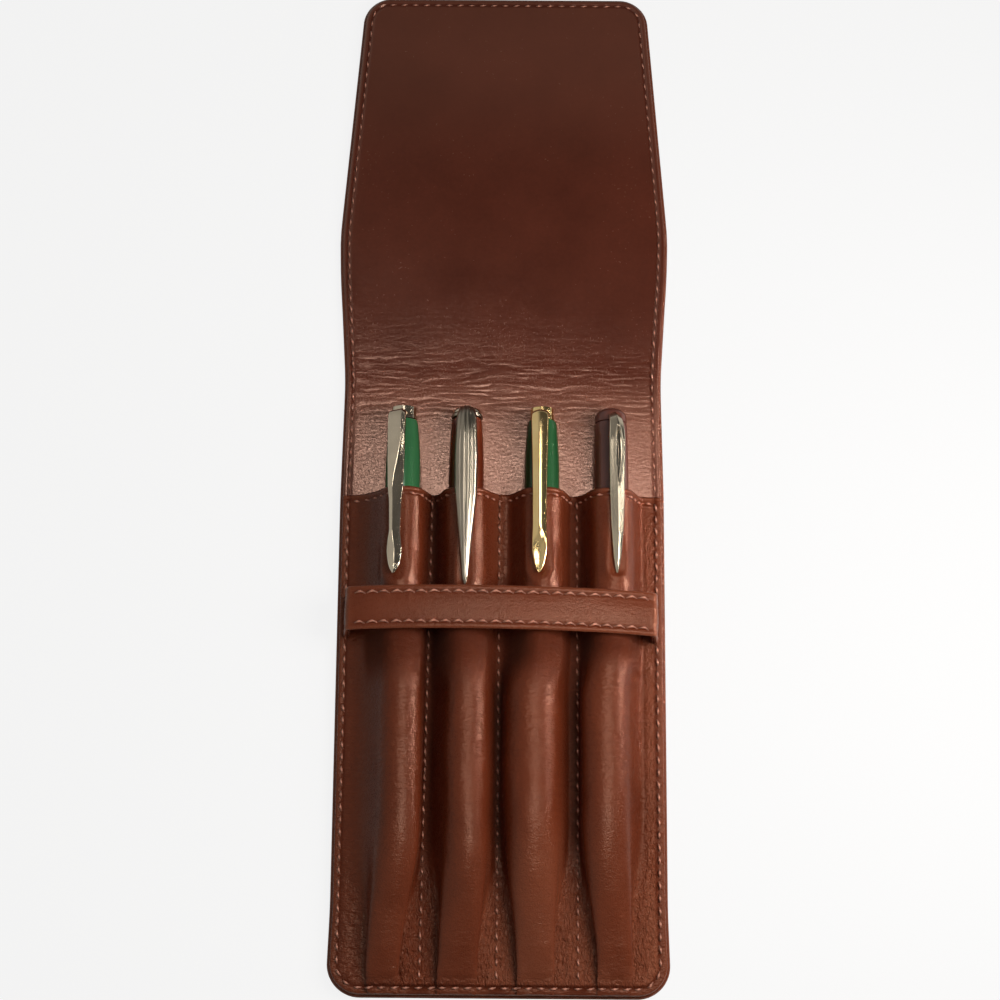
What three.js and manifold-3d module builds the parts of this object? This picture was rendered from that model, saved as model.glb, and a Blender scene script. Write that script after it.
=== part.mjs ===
// A leather pen case, open on its back, with four capped pens in the channels of its pocket.
// Millimetres. +X runs across the case, +Y toward the tip of the flap, +Z up off the table.
// The origin is on the table, under the middle of the open case.

import * as THREE from "three";
import { mergeVertices } from "three/addons/utils/BufferGeometryUtils.js";
import Module from "manifold-3d";

// Leather, board and the gaps between layers
const outerLeather = 1.1;
const boardThickness = 0.5;
const liningLeather = 0.8;
const glueLine = 0.15;
const edgeRound = 0.4;
const rimWidth = 2; // outer leather turned over the edge of the lining
const rimGap = 0.2;
const boardMargin = 1.5; // board edge to lining edge

// Body, fold and flap, along Y from the bottom edge of the body
const bodyLength = 169;
const bodyWidth = 92;
const bottomCorner = 9;
const foldLength = 22;
const neckDraw = 0.5; // body edge to the narrower neck at the fold
const hingeGap = 0.3;
const creaseCount = 6;
const creaseDepth = 0.35;
const flapLength = 104;
const rootFlare = 1; // neck edge to the edge of the flap's root
const shoulderFlare = 1.5; // root edge to the widest line of the flap
const shoulderRise = 27; // from the fold to the widest line of the flap
const tipDraw = 5.25; // widest line to the edge at the tip
const tipCorner = 8;

// Pocket panel, sewn down round its edge and along three dividers
const pocketLeather = 1.1;
const mouthDrop = 30; // from the fold down to the mouth of the pocket
const pocketInset = 1.6; // body edge to pocket edge
const sideSeam = 2.8; // body edge to the side stitching
const bottomSeam = 3.5; // body edge to the bottom stitching
const dividers = [-19.7, -0.6, 21.2];
const seamFoot = 1.4; // flat leather beside each line of stitching, under the channel
const seamCrease = 0.5; // the same on the upper side
const channelClearance = 0.4;
const channelLean = THREE.MathUtils.degToRad(60); // turn of the leather that hugs a pen
const swellLength = 36; // from the bottom seam to the full channel
const pleatWidth = 11.2; // flat face of a box pleat at the bottom seam
const pleatRise = 2.4;
const pleatFlank = 1.2;

// Cross strap
const strapWidth = 12.2;
const strapDrop = 31.1; // from the mouth of the pocket down to the strap
const strapTilt = THREE.MathUtils.degToRad(1.2); // sewn a little lower at the right
const strapLining = 0.6;
const strapLeather = 0.9;
const strapRest = 0.3;
const strapDraw = 3.2; // how far each leg leans in
const strapBend = 1.6;

// Pens
const penMiddles = [-28, -10.1, 11.2, 30.7];
const penTurns = [-14, 0, -6, 11]; // degrees that each pen lies turned about its axis
const penColours = [0x1f6a44, 0x6e2a18, 0x35682f, 0x3a2026];
const trimColours = [0xc9ccd0, 0xc9ccd0, 0xc9a24a, 0xc9ccd0];
const finialColours = [0xc9ccd0, 0xc9ccd0, 0xc9a24a, 0x3a2026];
const tailRise = 28.7; // from the bottom edge of the body up to the pen tails
const penLength = 135;
const penRest = 0.2;
const capRadius = 4.9;
const capTopRadius = 4;
const capShoulder = 5; // the round between the cap's wall and its top
const capLength = 62; // pen top to cap lip
const capWall = 0.8;
const bandLength = 3.2;
const bandDepth = 0.4;
const bandProud = 0.1;
const barrelRadius = 4.5;
const tailRadius = 2.6;
const tailLength = 26;
const gripRadius = 3.6;
const gripLength = 34;
const tipRadius = 2.4;
const tipPoint = 0.5;
const tipLength = 7;
const fitGap = 0.15;
const seatGap = 0.3;
const finialHeights = [2.8, 2.2, 2.8, 3.2];
const crownHeights = [0.6, 1.8, 0.6, 2.6]; // rounded part of each finial
const finialStep = 0.3;
const clipThickness = 1;
const clipRest = 0.3; // clip to pocket leather
const clipBend = 1.6;
const clipNose = 2.4;
const clipReaches = [25.3, 28, 24.8, 24.5]; // below the mouth of the pocket
const clipRoots = [5.4, 5.8, 5.4, 5.4];
const clipTips = [4, 1.2, 3.6, 1.6];

// Facets
const latheSides = 18;
const arcPoints = 5;
const channelArcSteps = 3;
const channelFlankSteps = 5;
const swellSteps = 7;
const creaseSteps = 6;
const overCut = 1; // how far a cutting solid runs past the face it cuts
const weld = 1e-4;

// Levels and lines that follow from the sizes above
const openLength = bodyLength + foldLength + flapLength;
const flapStart = bodyLength + foldLength;
const pocketMouth = bodyLength - mouthDrop;
const strapMiddle = pocketMouth - strapDrop - strapWidth / 2;
const penTop = tailRise + penLength;
const neckWidth = bodyWidth - 2 * neckDraw;
const flapRootWidth = neckWidth + 2 * rootFlare;
const shoulderWidth = flapRootWidth + 2 * shoulderFlare;
const tipWidth = shoulderWidth - 2 * tipDraw;
const boardBottom = outerLeather + glueLine;
const liningBottom = boardBottom + boardThickness + glueLine;
const panelTop = liningBottom + liningLeather;
const seamHalf = bodyWidth / 2 - sideSeam;
const pocketBase = panelTop + glueLine;
const penAxis = panelTop + penRest + capRadius + bandProud;
const channelRadius = capRadius + bandProud + channelClearance;
const channelCrest = penAxis + channelRadius + pocketLeather;

const leather = new THREE.MeshStandardMaterial({ color: 0x5b3021, roughness: 0.5, metalness: 0 });
const lining = new THREE.MeshStandardMaterial({ color: 0x4a261d, roughness: 0.45, metalness: 0 });
const card = new THREE.MeshStandardMaterial({ color: 0x8a7a66, roughness: 0.9, metalness: 0 });
const gripPlastic = new THREE.MeshStandardMaterial({ color: 0x17181a, roughness: 0.4, metalness: 0 });
const steel = new THREE.MeshStandardMaterial({ color: 0xb9bcc0, roughness: 0.25, metalness: 1 });

const wasm = await Module();
wasm.setup();

// A closed geometry as a solid that can be joined and cut.
function solidOf(geometry) {
  const bare = geometry.clone();
  bare.deleteAttribute("normal");
  bare.deleteAttribute("uv");
  const merged = mergeVertices(bare, weld);
  const vertProperties = merged.attributes.position.array;
  const triVerts = new Uint32Array(merged.index.array);
  return new wasm.Manifold(new wasm.Mesh({ numProp: 3, vertProperties, triVerts }));
}

// A solid back as a geometry.
function geometryOf(solid) {
  const { vertProperties, triVerts } = solid.getMesh();
  const geometry = new THREE.BufferGeometry();
  geometry.setAttribute("position", new THREE.BufferAttribute(vertProperties, 3));
  geometry.setIndex(new THREE.BufferAttribute(triVerts, 1));
  geometry.computeVertexNormals();
  return geometry;
}

function piece(name, geometry, material) {
  const mesh = new THREE.Mesh(geometry, material);
  mesh.name = name;
  return mesh;
}

// A flat sheet of the given outline between two levels.
function sheet(shape, bottom, top) {
  const settings = { depth: top - bottom, bevelEnabled: false, curveSegments: arcPoints };
  return new THREE.ExtrudeGeometry(shape, settings).translate(0, 0, bottom);
}

// The same with rounded edges, as a turned leather edge has.
function roundedSheet(shape, bottom, top) {
  const settings = {
    depth: top - bottom - 2 * edgeRound,
    bevelThickness: edgeRound,
    bevelSize: edgeRound,
    bevelOffset: -edgeRound,
    bevelSegments: 2,
    curveSegments: arcPoints,
  };
  return new THREE.ExtrudeGeometry(shape, settings).translate(0, 0, bottom + edgeRound);
}

// A profile drawn across Y and Z, drawn out along X to both sides of the middle.
function acrossX(profile, width) {
  const settings = { depth: width, bevelEnabled: false, curveSegments: arcPoints };
  const alongY = new THREE.Vector3(0, 1, 0);
  const alongZ = new THREE.Vector3(0, 0, 1);
  const alongX = new THREE.Vector3(1, 0, 0);
  const turn = new THREE.Matrix4().makeBasis(alongY, alongZ, alongX);
  return new THREE.ExtrudeGeometry(profile, settings).applyMatrix4(turn).translate(-width / 2, 0, 0);
}

function lathe(points) {
  return new THREE.LatheGeometry(points.map(([r, y]) => new THREE.Vector2(r, y)), latheSides);
}

// Outline of the body, drawn in by an inset, up to the line at topY.
function bodyOutline(inset, topY) {
  const half = bodyWidth / 2 - inset;
  const neck = neckWidth / 2 - inset;
  const corner = bottomCorner - inset;
  const shape = new THREE.Shape();
  shape.moveTo(-half + corner, inset);
  shape.lineTo(half - corner, inset);
  shape.absarc(half - corner, bottomCorner, corner, -Math.PI / 2, 0);
  shape.lineTo(half, pocketMouth);
  shape.lineTo(neck, topY);
  shape.lineTo(-neck, topY);
  shape.lineTo(-half, pocketMouth);
  shape.absarc(-half + corner, bottomCorner, corner, Math.PI, 1.5 * Math.PI);
  return shape;
}

// Outline of the strip that bends, between the two lines at lowY and topY.
function foldOutline(inset, lowY, topY) {
  const neck = neckWidth / 2 - inset;
  const root = flapRootWidth / 2 - inset;
  const shape = new THREE.Shape();
  shape.moveTo(-neck, lowY);
  shape.lineTo(neck, lowY);
  shape.lineTo(root, topY);
  shape.lineTo(-root, topY);
  return shape;
}

// Outline of the flap from the line at lowY: it flares to the shoulder and narrows to the tip.
function flapOutline(inset, lowY) {
  const root = flapRootWidth / 2 - inset;
  const shoulder = shoulderWidth / 2 - inset;
  const tip = tipWidth / 2 - inset;
  const corner = tipCorner - inset;
  const shoulderY = flapStart + shoulderRise;
  const cornerY = openLength - tipCorner;
  const shape = new THREE.Shape();
  shape.moveTo(-root, lowY);
  shape.lineTo(root, lowY);
  shape.quadraticCurveTo(shoulder, (lowY + shoulderY) / 2, shoulder, shoulderY);
  shape.lineTo(tip, cornerY);
  shape.absarc(tip - corner, cornerY, corner, 0, Math.PI / 2);
  shape.absarc(-tip + corner, cornerY, corner, Math.PI / 2, Math.PI);
  shape.lineTo(-shoulder, shoulderY);
  shape.quadraticCurveTo(-shoulder, (lowY + shoulderY) / 2, -root, lowY);
  return shape;
}

// Outer leather with its edges turned up round the lining: a rounded sheet with a shallow recess.
function turnedSheet(outline, recess) {
  const full = solidOf(roundedSheet(outline, 0, panelTop));
  return geometryOf(full.subtract(solidOf(sheet(recess, outerLeather, panelTop + overCut))));
}

function backLayers() {
  const group = new THREE.Group();
  const end = bodyLength - hingeGap / 2;
  const liningInset = rimWidth + rimGap;
  const recess = bodyOutline(rimWidth, bodyLength + overCut);
  const boardShape = bodyOutline(liningInset + boardMargin, end - boardMargin);
  const liningShape = bodyOutline(liningInset, end);
  group.add(piece("back_outer", turnedSheet(bodyOutline(0, end), recess), leather));
  group.add(piece("back_board", sheet(boardShape, boardBottom, boardBottom + boardThickness), card));
  group.add(piece("back_lining", sheet(liningShape, liningBottom, panelTop), lining));
  return group;
}

// The lining of the fold, with the creases that years of opening leave across it.
function creasedLining(low, top) {
  const profile = new THREE.Shape();
  profile.moveTo(low, boardBottom);
  profile.lineTo(top, boardBottom);
  const steps = creaseCount * creaseSteps;
  for (let i = 0; i <= steps; i++) {
    const along = i / steps;
    const dip = (1 - Math.cos(2 * Math.PI * creaseCount * along)) / 2;
    profile.lineTo(top + (low - top) * along, panelTop - creaseDepth * dip);
  }
  const strip = solidOf(acrossX(profile, flapRootWidth));
  const outline = foldOutline(rimWidth + rimGap, bodyLength, flapStart);
  return geometryOf(strip.intersect(solidOf(sheet(outline, 0, panelTop + overCut))));
}

function foldLayers() {
  const group = new THREE.Group();
  const low = bodyLength + hingeGap / 2;
  const top = flapStart - hingeGap / 2;
  const recess = foldOutline(rimWidth, bodyLength - overCut, flapStart + overCut);
  group.add(piece("fold_outer", turnedSheet(foldOutline(0, low, top), recess), leather));
  group.add(piece("fold_lining", creasedLining(low, top), lining));
  return group;
}

function flapLayers() {
  const group = new THREE.Group();
  const low = flapStart + hingeGap / 2;
  const liningInset = rimWidth + rimGap;
  const recess = flapOutline(rimWidth, flapStart - overCut);
  const boardShape = flapOutline(liningInset + boardMargin, low + boardMargin);
  const liningShape = flapOutline(liningInset, low);
  group.add(piece("flap_outer", turnedSheet(flapOutline(0, low), recess), leather));
  group.add(piece("flap_board", sheet(boardShape, boardBottom, boardBottom + boardThickness), card));
  group.add(piece("flap_lining", sheet(liningShape, liningBottom, panelTop), lining));
  return group;
}

// One channel's section: leather that hugs the pen, then falls in a curve to the stitching.
// The distance is from the channel's middle, and reach is the middle to the stitching.
function channelHeight(distance, reach, radius, base, foot) {
  const hugX = radius * Math.sin(channelLean);
  if (distance <= hugX) return penAxis + Math.sqrt(radius * radius - distance * distance);
  const run = reach - foot - hugX;
  const u = Math.min((distance - hugX) / run, 1);
  const drop = penAxis + radius * Math.cos(channelLean) - base;
  const ease = (2 * u - 3) * u * u + 1;
  const swing = ((u - 2) * u + 1) * u;
  return base + drop * ease - Math.tan(channelLean) * run * swing;
}

// The box pleat that the channel's spare leather is folded into at the bottom seam.
function pleatHeight(distance, half, base) {
  return base + pleatRise * (1 - THREE.MathUtils.smoothstep(distance, half, half + pleatFlank));
}

// Channels from left to right, each with its middle and the stitching on both sides.
const seams = [-seamHalf, ...dividers, seamHalf];
const channels = penMiddles.map((middle, i) => ({ middle, left: seams[i], right: seams[i + 1] }));

// Lower or upper face of the pocket leather over the whole panel.
function pocketHeight(x, y, thickness, foot) {
  const base = pocketBase + thickness;
  const channel = channels.find(({ left, right }) => x >= left && x <= right);
  if (!channel) return base;
  const distance = Math.abs(x - channel.middle);
  const reach = x < channel.middle ? channel.middle - channel.left : channel.right - channel.middle;
  const round = channelHeight(distance, reach, channelRadius + thickness, base, foot);
  const pleat = pleatHeight(distance, pleatWidth / 2 + thickness, base);
  const fullness = THREE.MathUtils.smoothstep(y, bottomSeam, bottomSeam + swellLength);
  return pleat + (round - pleat) * fullness;
}

// Lines across one half channel, close together where the leather bends most.
function halfChannelLines(reach) {
  const lines = [];
  for (let i = 1; i <= channelArcSteps; i++) {
    lines.push(channelRadius * Math.sin((channelLean * i) / channelArcSteps));
  }
  const hugX = lines[lines.length - 1];
  for (let i = 1; i < channelFlankSteps; i++) {
    lines.push(hugX + ((reach - hugX) * i) / channelFlankSteps);
  }
  return lines;
}

function pocketColumns() {
  const columns = [-bodyWidth / 2];
  for (const { middle, left, right } of channels) {
    const leftLines = halfChannelLines(middle - left).map((distance) => middle - distance);
    const rightLines = halfChannelLines(right - middle).map((distance) => middle + distance);
    columns.push(left, ...leftLines.reverse(), middle, ...rightLines);
  }
  columns.push(seamHalf, bodyWidth / 2);
  return columns;
}

function pocketRows() {
  const rows = [0];
  for (let i = 0; i <= swellSteps; i++) {
    rows.push(bottomSeam + (swellLength * i) / swellSteps);
  }
  rows.push(pocketMouth);
  return rows;
}

// A closed sheet over a grid of lines, between a lower and an upper height.
function sheetBetween(columns, rows, lower, upper) {
  const positions = [];
  const faces = [];
  const layer = columns.length * rows.length;
  const at = (i, j, top) => (top ? layer : 0) + j * columns.length + i;
  for (const height of [lower, upper]) {
    for (const y of rows) {
      for (const x of columns) positions.push(x, y, height(x, y));
    }
  }
  const quad = (a, b, c, d) => faces.push(a, b, c, a, c, d);
  const lastColumn = columns.length - 1;
  const lastRow = rows.length - 1;
  for (let j = 0; j < lastRow; j++) {
    for (let i = 0; i < lastColumn; i++) {
      quad(at(i, j, 1), at(i + 1, j, 1), at(i + 1, j + 1, 1), at(i, j + 1, 1));
      quad(at(i, j + 1, 0), at(i + 1, j + 1, 0), at(i + 1, j, 0), at(i, j, 0));
    }
    quad(at(0, j + 1, 0), at(0, j, 0), at(0, j, 1), at(0, j + 1, 1));
    quad(at(lastColumn, j, 0), at(lastColumn, j + 1, 0), at(lastColumn, j + 1, 1), at(lastColumn, j, 1));
  }
  for (let i = 0; i < lastColumn; i++) {
    quad(at(i, 0, 0), at(i + 1, 0, 0), at(i + 1, 0, 1), at(i, 0, 1));
    quad(at(i + 1, lastRow, 0), at(i, lastRow, 0), at(i, lastRow, 1), at(i + 1, lastRow, 1));
  }
  const geometry = new THREE.BufferGeometry();
  geometry.setAttribute("position", new THREE.Float32BufferAttribute(positions, 3));
  geometry.setIndex(faces);
  return geometry;
}

// The pocket panel: one leather with four channels, trimmed to the rounded outline of the body.
function pocketPanel() {
  const lower = (x, y) => pocketHeight(x, y, 0, seamFoot);
  const upper = (x, y) => pocketHeight(x, y, pocketLeather, seamCrease);
  const full = solidOf(sheetBetween(pocketColumns(), pocketRows(), lower, upper));
  const trim = sheet(bodyOutline(pocketInset, bodyLength), panelTop, channelCrest + overCut);
  return piece("pocket_panel", geometryOf(full.intersect(solidOf(trim))), leather);
}

// One layer of the strap: a band over the channels whose legs go down to the side edges.
function strapBand(offset, thickness) {
  const foot = bodyWidth / 2 - pocketInset + strapRest + offset;
  const inside = foot - strapDraw;
  const under = channelCrest + strapRest + offset;
  const over = under + thickness;
  const outside = inside + thickness;
  const bend = strapBend + offset;
  const wideBend = bend + thickness;
  const ankle = pocketBase + pocketLeather + strapRest;
  const profile = new THREE.Shape();
  profile.moveTo(-foot - thickness, pocketBase);
  profile.lineTo(-foot, pocketBase);
  profile.lineTo(-foot, ankle);
  profile.lineTo(-inside, under - bend);
  profile.quadraticCurveTo(-inside, under, -inside + bend, under);
  profile.lineTo(inside - bend, under);
  profile.quadraticCurveTo(inside, under, inside, under - bend);
  profile.lineTo(foot, ankle);
  profile.lineTo(foot, pocketBase);
  profile.lineTo(foot + thickness, pocketBase);
  profile.lineTo(foot + thickness, ankle);
  profile.lineTo(outside, over - wideBend);
  profile.quadraticCurveTo(outside, over, outside - wideBend, over);
  profile.lineTo(-outside + wideBend, over);
  profile.quadraticCurveTo(-outside, over, -outside, over - wideBend);
  profile.lineTo(-foot - thickness, ankle);
  const settings = { depth: strapWidth, bevelEnabled: false, curveSegments: arcPoints };
  const band = new THREE.ExtrudeGeometry(profile, settings);
  return band.rotateX(Math.PI / 2).translate(0, strapWidth / 2, 0);
}

function strapLayers() {
  const group = new THREE.Group();
  group.position.y = strapMiddle;
  group.rotation.z = -strapTilt;
  group.add(piece("strap_lining", strapBand(0, strapLining), lining));
  group.add(piece("strap_outer", strapBand(strapLining + glueLine, strapLeather), leather));
  return group;
}

// Pen pieces are turned about the pen's own axis, with heights below its top.

function barrel() {
  const tail = -penLength;
  const top = -capLength - seatGap;
  return lathe([
    [0, tail],
    [tailRadius * 0.7, tail],
    [tailRadius, tail + 1],
    [barrelRadius * 0.9, tail + tailLength / 2],
    [barrelRadius, tail + tailLength],
    [barrelRadius, top],
    [0, top],
  ]);
}

function grip() {
  const low = -capLength - seatGap + fitGap;
  const top = low + gripLength;
  return lathe([
    [0, low],
    [gripRadius, low],
    [gripRadius, low + gripLength / 3],
    [tipRadius, top],
    [0, top],
  ]);
}

function writingTip() {
  const low = -capLength - seatGap + 2 * fitGap + gripLength;
  return lathe([
    [0, low],
    [tipRadius, low],
    [tipPoint, low + tipLength],
    [0, low + tipLength],
  ]);
}

// A hollow cap: closed at the top, open at the lip, with a groove for the band.
function cap(capTop) {
  const bore = capRadius - capWall;
  const groove = capRadius - bandDepth;
  const lip = -capLength;
  return lathe([
    [0, capTop - capWall],
    [capTopRadius - capWall, capTop - capWall],
    [bore, capTop - capShoulder - capWall],
    [bore, lip],
    [groove, lip],
    [groove, lip + bandLength],
    [capRadius, lip + bandLength],
    [capRadius, capTop - capShoulder],
    [(capRadius + capTopRadius) / 2, capTop - capShoulder / 4],
    [capTopRadius, capTop],
    [0, capTop],
  ]);
}

function capBand() {
  const inner = capRadius - bandDepth + fitGap;
  const outer = capRadius + bandProud;
  const low = -capLength;
  const top = low + bandLength - fitGap;
  return lathe([
    [inner, low],
    [outer, low],
    [outer, top],
    [inner, top],
    [inner, low],
  ]);
}

// A button on top of the cap: a short wall and a rounded crown.
function finial(height, crown) {
  const radius = capTopRadius - finialStep;
  const wall = -crown;
  return lathe([
    [0, -height],
    [radius, -height],
    [radius, wall],
    [radius * Math.cos(Math.PI / 6), wall + crown / 2],
    [radius / 2, wall + crown * Math.cos(Math.PI / 6)],
    [0, 0],
  ]);
}

// Spring clip: a disc clamped under the finial, and an arm that tapers down outside the pocket.
function clip(discTop, low, rootWidth, tipWidth) {
  const disc = lathe([
    [0, discTop - clipThickness],
    [capTopRadius, discTop - clipThickness],
    [capTopRadius, discTop],
    [0, discTop],
  ]);
  const under = channelRadius + pocketLeather + clipRest;
  const over = under + clipThickness;
  const side = new THREE.Shape();
  side.moveTo(discTop, capTopRadius / 2);
  side.lineTo(discTop, over - clipBend);
  side.quadraticCurveTo(discTop, over, discTop - clipBend, over);
  side.lineTo(low + clipNose, over);
  side.quadraticCurveTo(low, over, low, under);
  side.lineTo(discTop - clipThickness - clipBend, under);
  side.quadraticCurveTo(discTop - clipThickness, under, discTop - clipThickness, under - clipBend);
  side.lineTo(discTop - clipThickness, capTopRadius / 2);
  const plan = new THREE.Shape();
  const root = rootWidth / 2;
  const tip = tipWidth / 2;
  plan.moveTo(root, overCut);
  plan.lineTo(-root, overCut);
  plan.lineTo(-tip, low + tip);
  plan.absarc(0, low + tip, tip, Math.PI, 2 * Math.PI);
  const bar = solidOf(acrossX(side, 2 * capRadius));
  const arm = bar.intersect(solidOf(sheet(plan, 0, over + overCut)));
  return geometryOf(arm.add(solidOf(disc)));
}

function glossy(color, metalness) {
  return new THREE.MeshStandardMaterial({ color, roughness: 0.18, metalness });
}

function pen(i) {
  const group = new THREE.Group();
  group.position.set(penMiddles[i], penTop, penAxis);
  group.rotation.y = THREE.MathUtils.degToRad(penTurns[i]);
  const name = `pen_${i + 1}`;
  const body = glossy(penColours[i], 0);
  const trim = glossy(trimColours[i], 1);
  const button = glossy(finialColours[i], finialColours[i] === penColours[i] ? 0 : 1);
  const discTop = -finialHeights[i] - fitGap;
  const capTop = discTop - clipThickness - fitGap;
  const clipLow = pocketMouth - clipReaches[i] - penTop;
  group.add(piece(`${name}_barrel`, barrel(), body));
  group.add(piece(`${name}_grip`, grip(), gripPlastic));
  group.add(piece(`${name}_tip`, writingTip(), steel));
  group.add(piece(`${name}_cap`, cap(capTop), body));
  group.add(piece(`${name}_band`, capBand(), trim));
  group.add(piece(`${name}_clip`, clip(discTop, clipLow, clipRoots[i], clipTips[i]), trim));
  group.add(piece(`${name}_finial`, finial(finialHeights[i], crownHeights[i]), button));
  return group;
}

const penCase = new THREE.Group();
penCase.position.y = -openLength / 2;
penCase.add(backLayers(), foldLayers(), flapLayers(), pocketPanel(), strapLayers());
penMiddles.forEach((_, i) => penCase.add(pen(i)));

export default penCase;
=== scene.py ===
import math

import bpy
import numpy as np
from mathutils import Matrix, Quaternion, Vector


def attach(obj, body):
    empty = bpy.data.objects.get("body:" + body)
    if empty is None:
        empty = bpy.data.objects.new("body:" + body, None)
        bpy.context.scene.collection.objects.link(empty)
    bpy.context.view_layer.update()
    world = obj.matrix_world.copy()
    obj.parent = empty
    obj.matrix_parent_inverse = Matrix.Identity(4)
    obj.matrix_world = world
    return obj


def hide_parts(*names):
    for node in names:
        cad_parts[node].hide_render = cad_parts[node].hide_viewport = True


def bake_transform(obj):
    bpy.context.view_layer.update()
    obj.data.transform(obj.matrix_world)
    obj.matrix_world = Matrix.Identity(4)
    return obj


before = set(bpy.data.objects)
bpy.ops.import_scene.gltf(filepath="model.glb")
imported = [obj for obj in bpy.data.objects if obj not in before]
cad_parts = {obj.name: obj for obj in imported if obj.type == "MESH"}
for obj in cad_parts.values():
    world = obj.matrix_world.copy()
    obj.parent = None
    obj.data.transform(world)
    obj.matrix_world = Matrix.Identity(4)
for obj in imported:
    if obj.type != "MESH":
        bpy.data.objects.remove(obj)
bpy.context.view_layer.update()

# The camera stands over the near end of the open case and looks down at 75 degrees, as the
# photograph does, with a slight roll. Lengths below are millimetres, and MM makes them metres.
MM = 0.001
EYE = Vector((-0.57, -172.0, 609.4))
AIM = Vector((-0.57, -8.74, 0))
LENS = 79.74
SENSOR = 36
ROLL = math.radians(0.45)

scene = bpy.context.scene
scene.view_settings.view_transform = "Standard"
bpy.ops.object.camera_add(location=EYE * MM)
camera = bpy.context.object
camera.name = "photo_camera"
camera.data.lens = LENS
camera.data.sensor_width = SENSOR
camera.data.clip_start = 10 * MM
camera.rotation_mode = "QUATERNION"
camera.rotation_quaternion = (AIM - EYE).to_track_quat("-Z", "Y") @ Quaternion((0, 0, 1), ROLL)
scene.camera = camera


# The outer leather: one waxed hide under body, fold and flap, with its edges turned up and in.
# It is laid out here in two pieces that meet in the middle of the fold, between the two hinges.
BODY_END = -147.5
FLAP_END = 147.5
BODY_HALF = 46
FOLD_MIDDLE = 32.5
BODY_CORNER = 9
FLAP_CORNER = 8
COVER_EDGE = 1.0
COVER_FLOOR = 1.1
COVER_GROOVE = 0.42
HEM_WIDTH = 3.2
SEAM_INSET = 2.6
EDGE_LINES = np.array([0, 0.06, 0.22, 0.5, 0.85, 1.25, 1.65, 2.05, 2.4, 2.7, 2.95, 3.25, 3.6, 4.2, 5.2])


def half_width(y):
    """Half the width of the open case, with the shoulders slightly rounded."""
    along = [-147.5, -140, -124, -8.5, 21.5, 27, 45.5, 58, 70.5, 139.5, 147.5]
    half = [46.2, 46.3, 45.8, 46, 45.5, 45.5, 46.7, 47.6, 48, 42.75, 42.2]
    shifts = (-3, -1, 1, 3)
    return sum(np.interp(y + shift, along, half) for shift in shifts) / len(shifts)


def smooth(value, low, high):
    """From 0 at low to 1 at high, with a soft start and end."""
    share = np.clip((value - low) / (high - low), 0, 1)
    return share * share * (3 - 2 * share)


def bell(value, middle, width):
    """1 at the middle, falling softly to 0 on both sides."""
    return np.exp(-(((value - middle) / width) ** 2))


def unevenness(x, y, seed):
    """Smooth noise from -1 to 1 over a plane, one lump to a unit."""
    cell_x, cell_y = np.floor(x), np.floor(y)
    part_x, part_y = x - cell_x, y - cell_y
    ease_x = part_x * part_x * (3 - 2 * part_x)
    ease_y = part_y * part_y * (3 - 2 * part_y)

    def corner(step_x, step_y):
        mix = np.sin((cell_x + step_x) * 127.1 + (cell_y + step_y) * 311.7 + seed * 74.7) * 43758.5453
        return 2 * (mix - np.floor(mix)) - 1

    near = corner(0, 0) * (1 - ease_x) + corner(1, 0) * ease_x
    far = corner(0, 1) * (1 - ease_x) + corner(1, 1) * ease_x
    return near * (1 - ease_y) + far * ease_y


def lines_along(start, *stretches):
    """Places along the case from start, through stretches of (end, step)."""
    lines = [start]
    for end, step in stretches:
        count = max(1, round(abs(end - lines[-1]) / step))
        lines += list(np.linspace(lines[-1], end, count + 1)[1:])
    return np.array(lines)


def narrowed_half(y, inset, end, corner):
    """Half the width of a sheet inside the case's outline, with its round corners."""
    round_off = corner - inset
    dip = np.clip(round_off - (np.abs(y - end) - inset), 0, round_off)
    return half_width(y) - inset - round_off + np.sqrt(round_off**2 - dip**2)


def edge_distance(x, y, inset, end, corner):
    """How far in from the edge of such a sheet a point lies."""
    round_off = corner - inset
    side = half_width(y) - inset - np.abs(x)
    reach = np.abs(y - end) - inset
    rounded = round_off - np.hypot(round_off - side, round_off - reach)
    in_corner = (side < round_off) & (reach < round_off)
    return np.clip(np.where(in_corner, rounded, np.minimum(side, reach)), 0, None)


def plan(rows, count, inset, end, corner):
    """Plan of such a sheet: x, y and the distance in from its edge."""
    inner = np.linspace(-1, 1, count)[1:-1]
    ones = np.ones(len(EDGE_LINES))
    share = np.concatenate([-ones, inner, ones])
    offset = np.concatenate([EDGE_LINES, -inner * EDGE_LINES[-1], -EDGE_LINES[::-1]])
    y = rows[:, None] + 0 * offset
    x = share * narrowed_half(y, inset, end, corner) + offset
    return x, y, edge_distance(x, y, inset, end, corner)


def edge_round(distance, radius):
    """Height of a rounded edge over its middle, from nearly 0 at the very edge to 1."""
    share = 1 - np.clip(distance / radius, 0, 1)
    return np.maximum(np.sqrt(1 - share * share), 0.07)


def store(mesh, kind, values):
    """Keeps a value for each point of a mesh, for its material to read."""
    attribute = mesh.attributes.new(kind, "FLOAT", "POINT")
    attribute.data.foreach_set("value", values.astype(np.float32))


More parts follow.
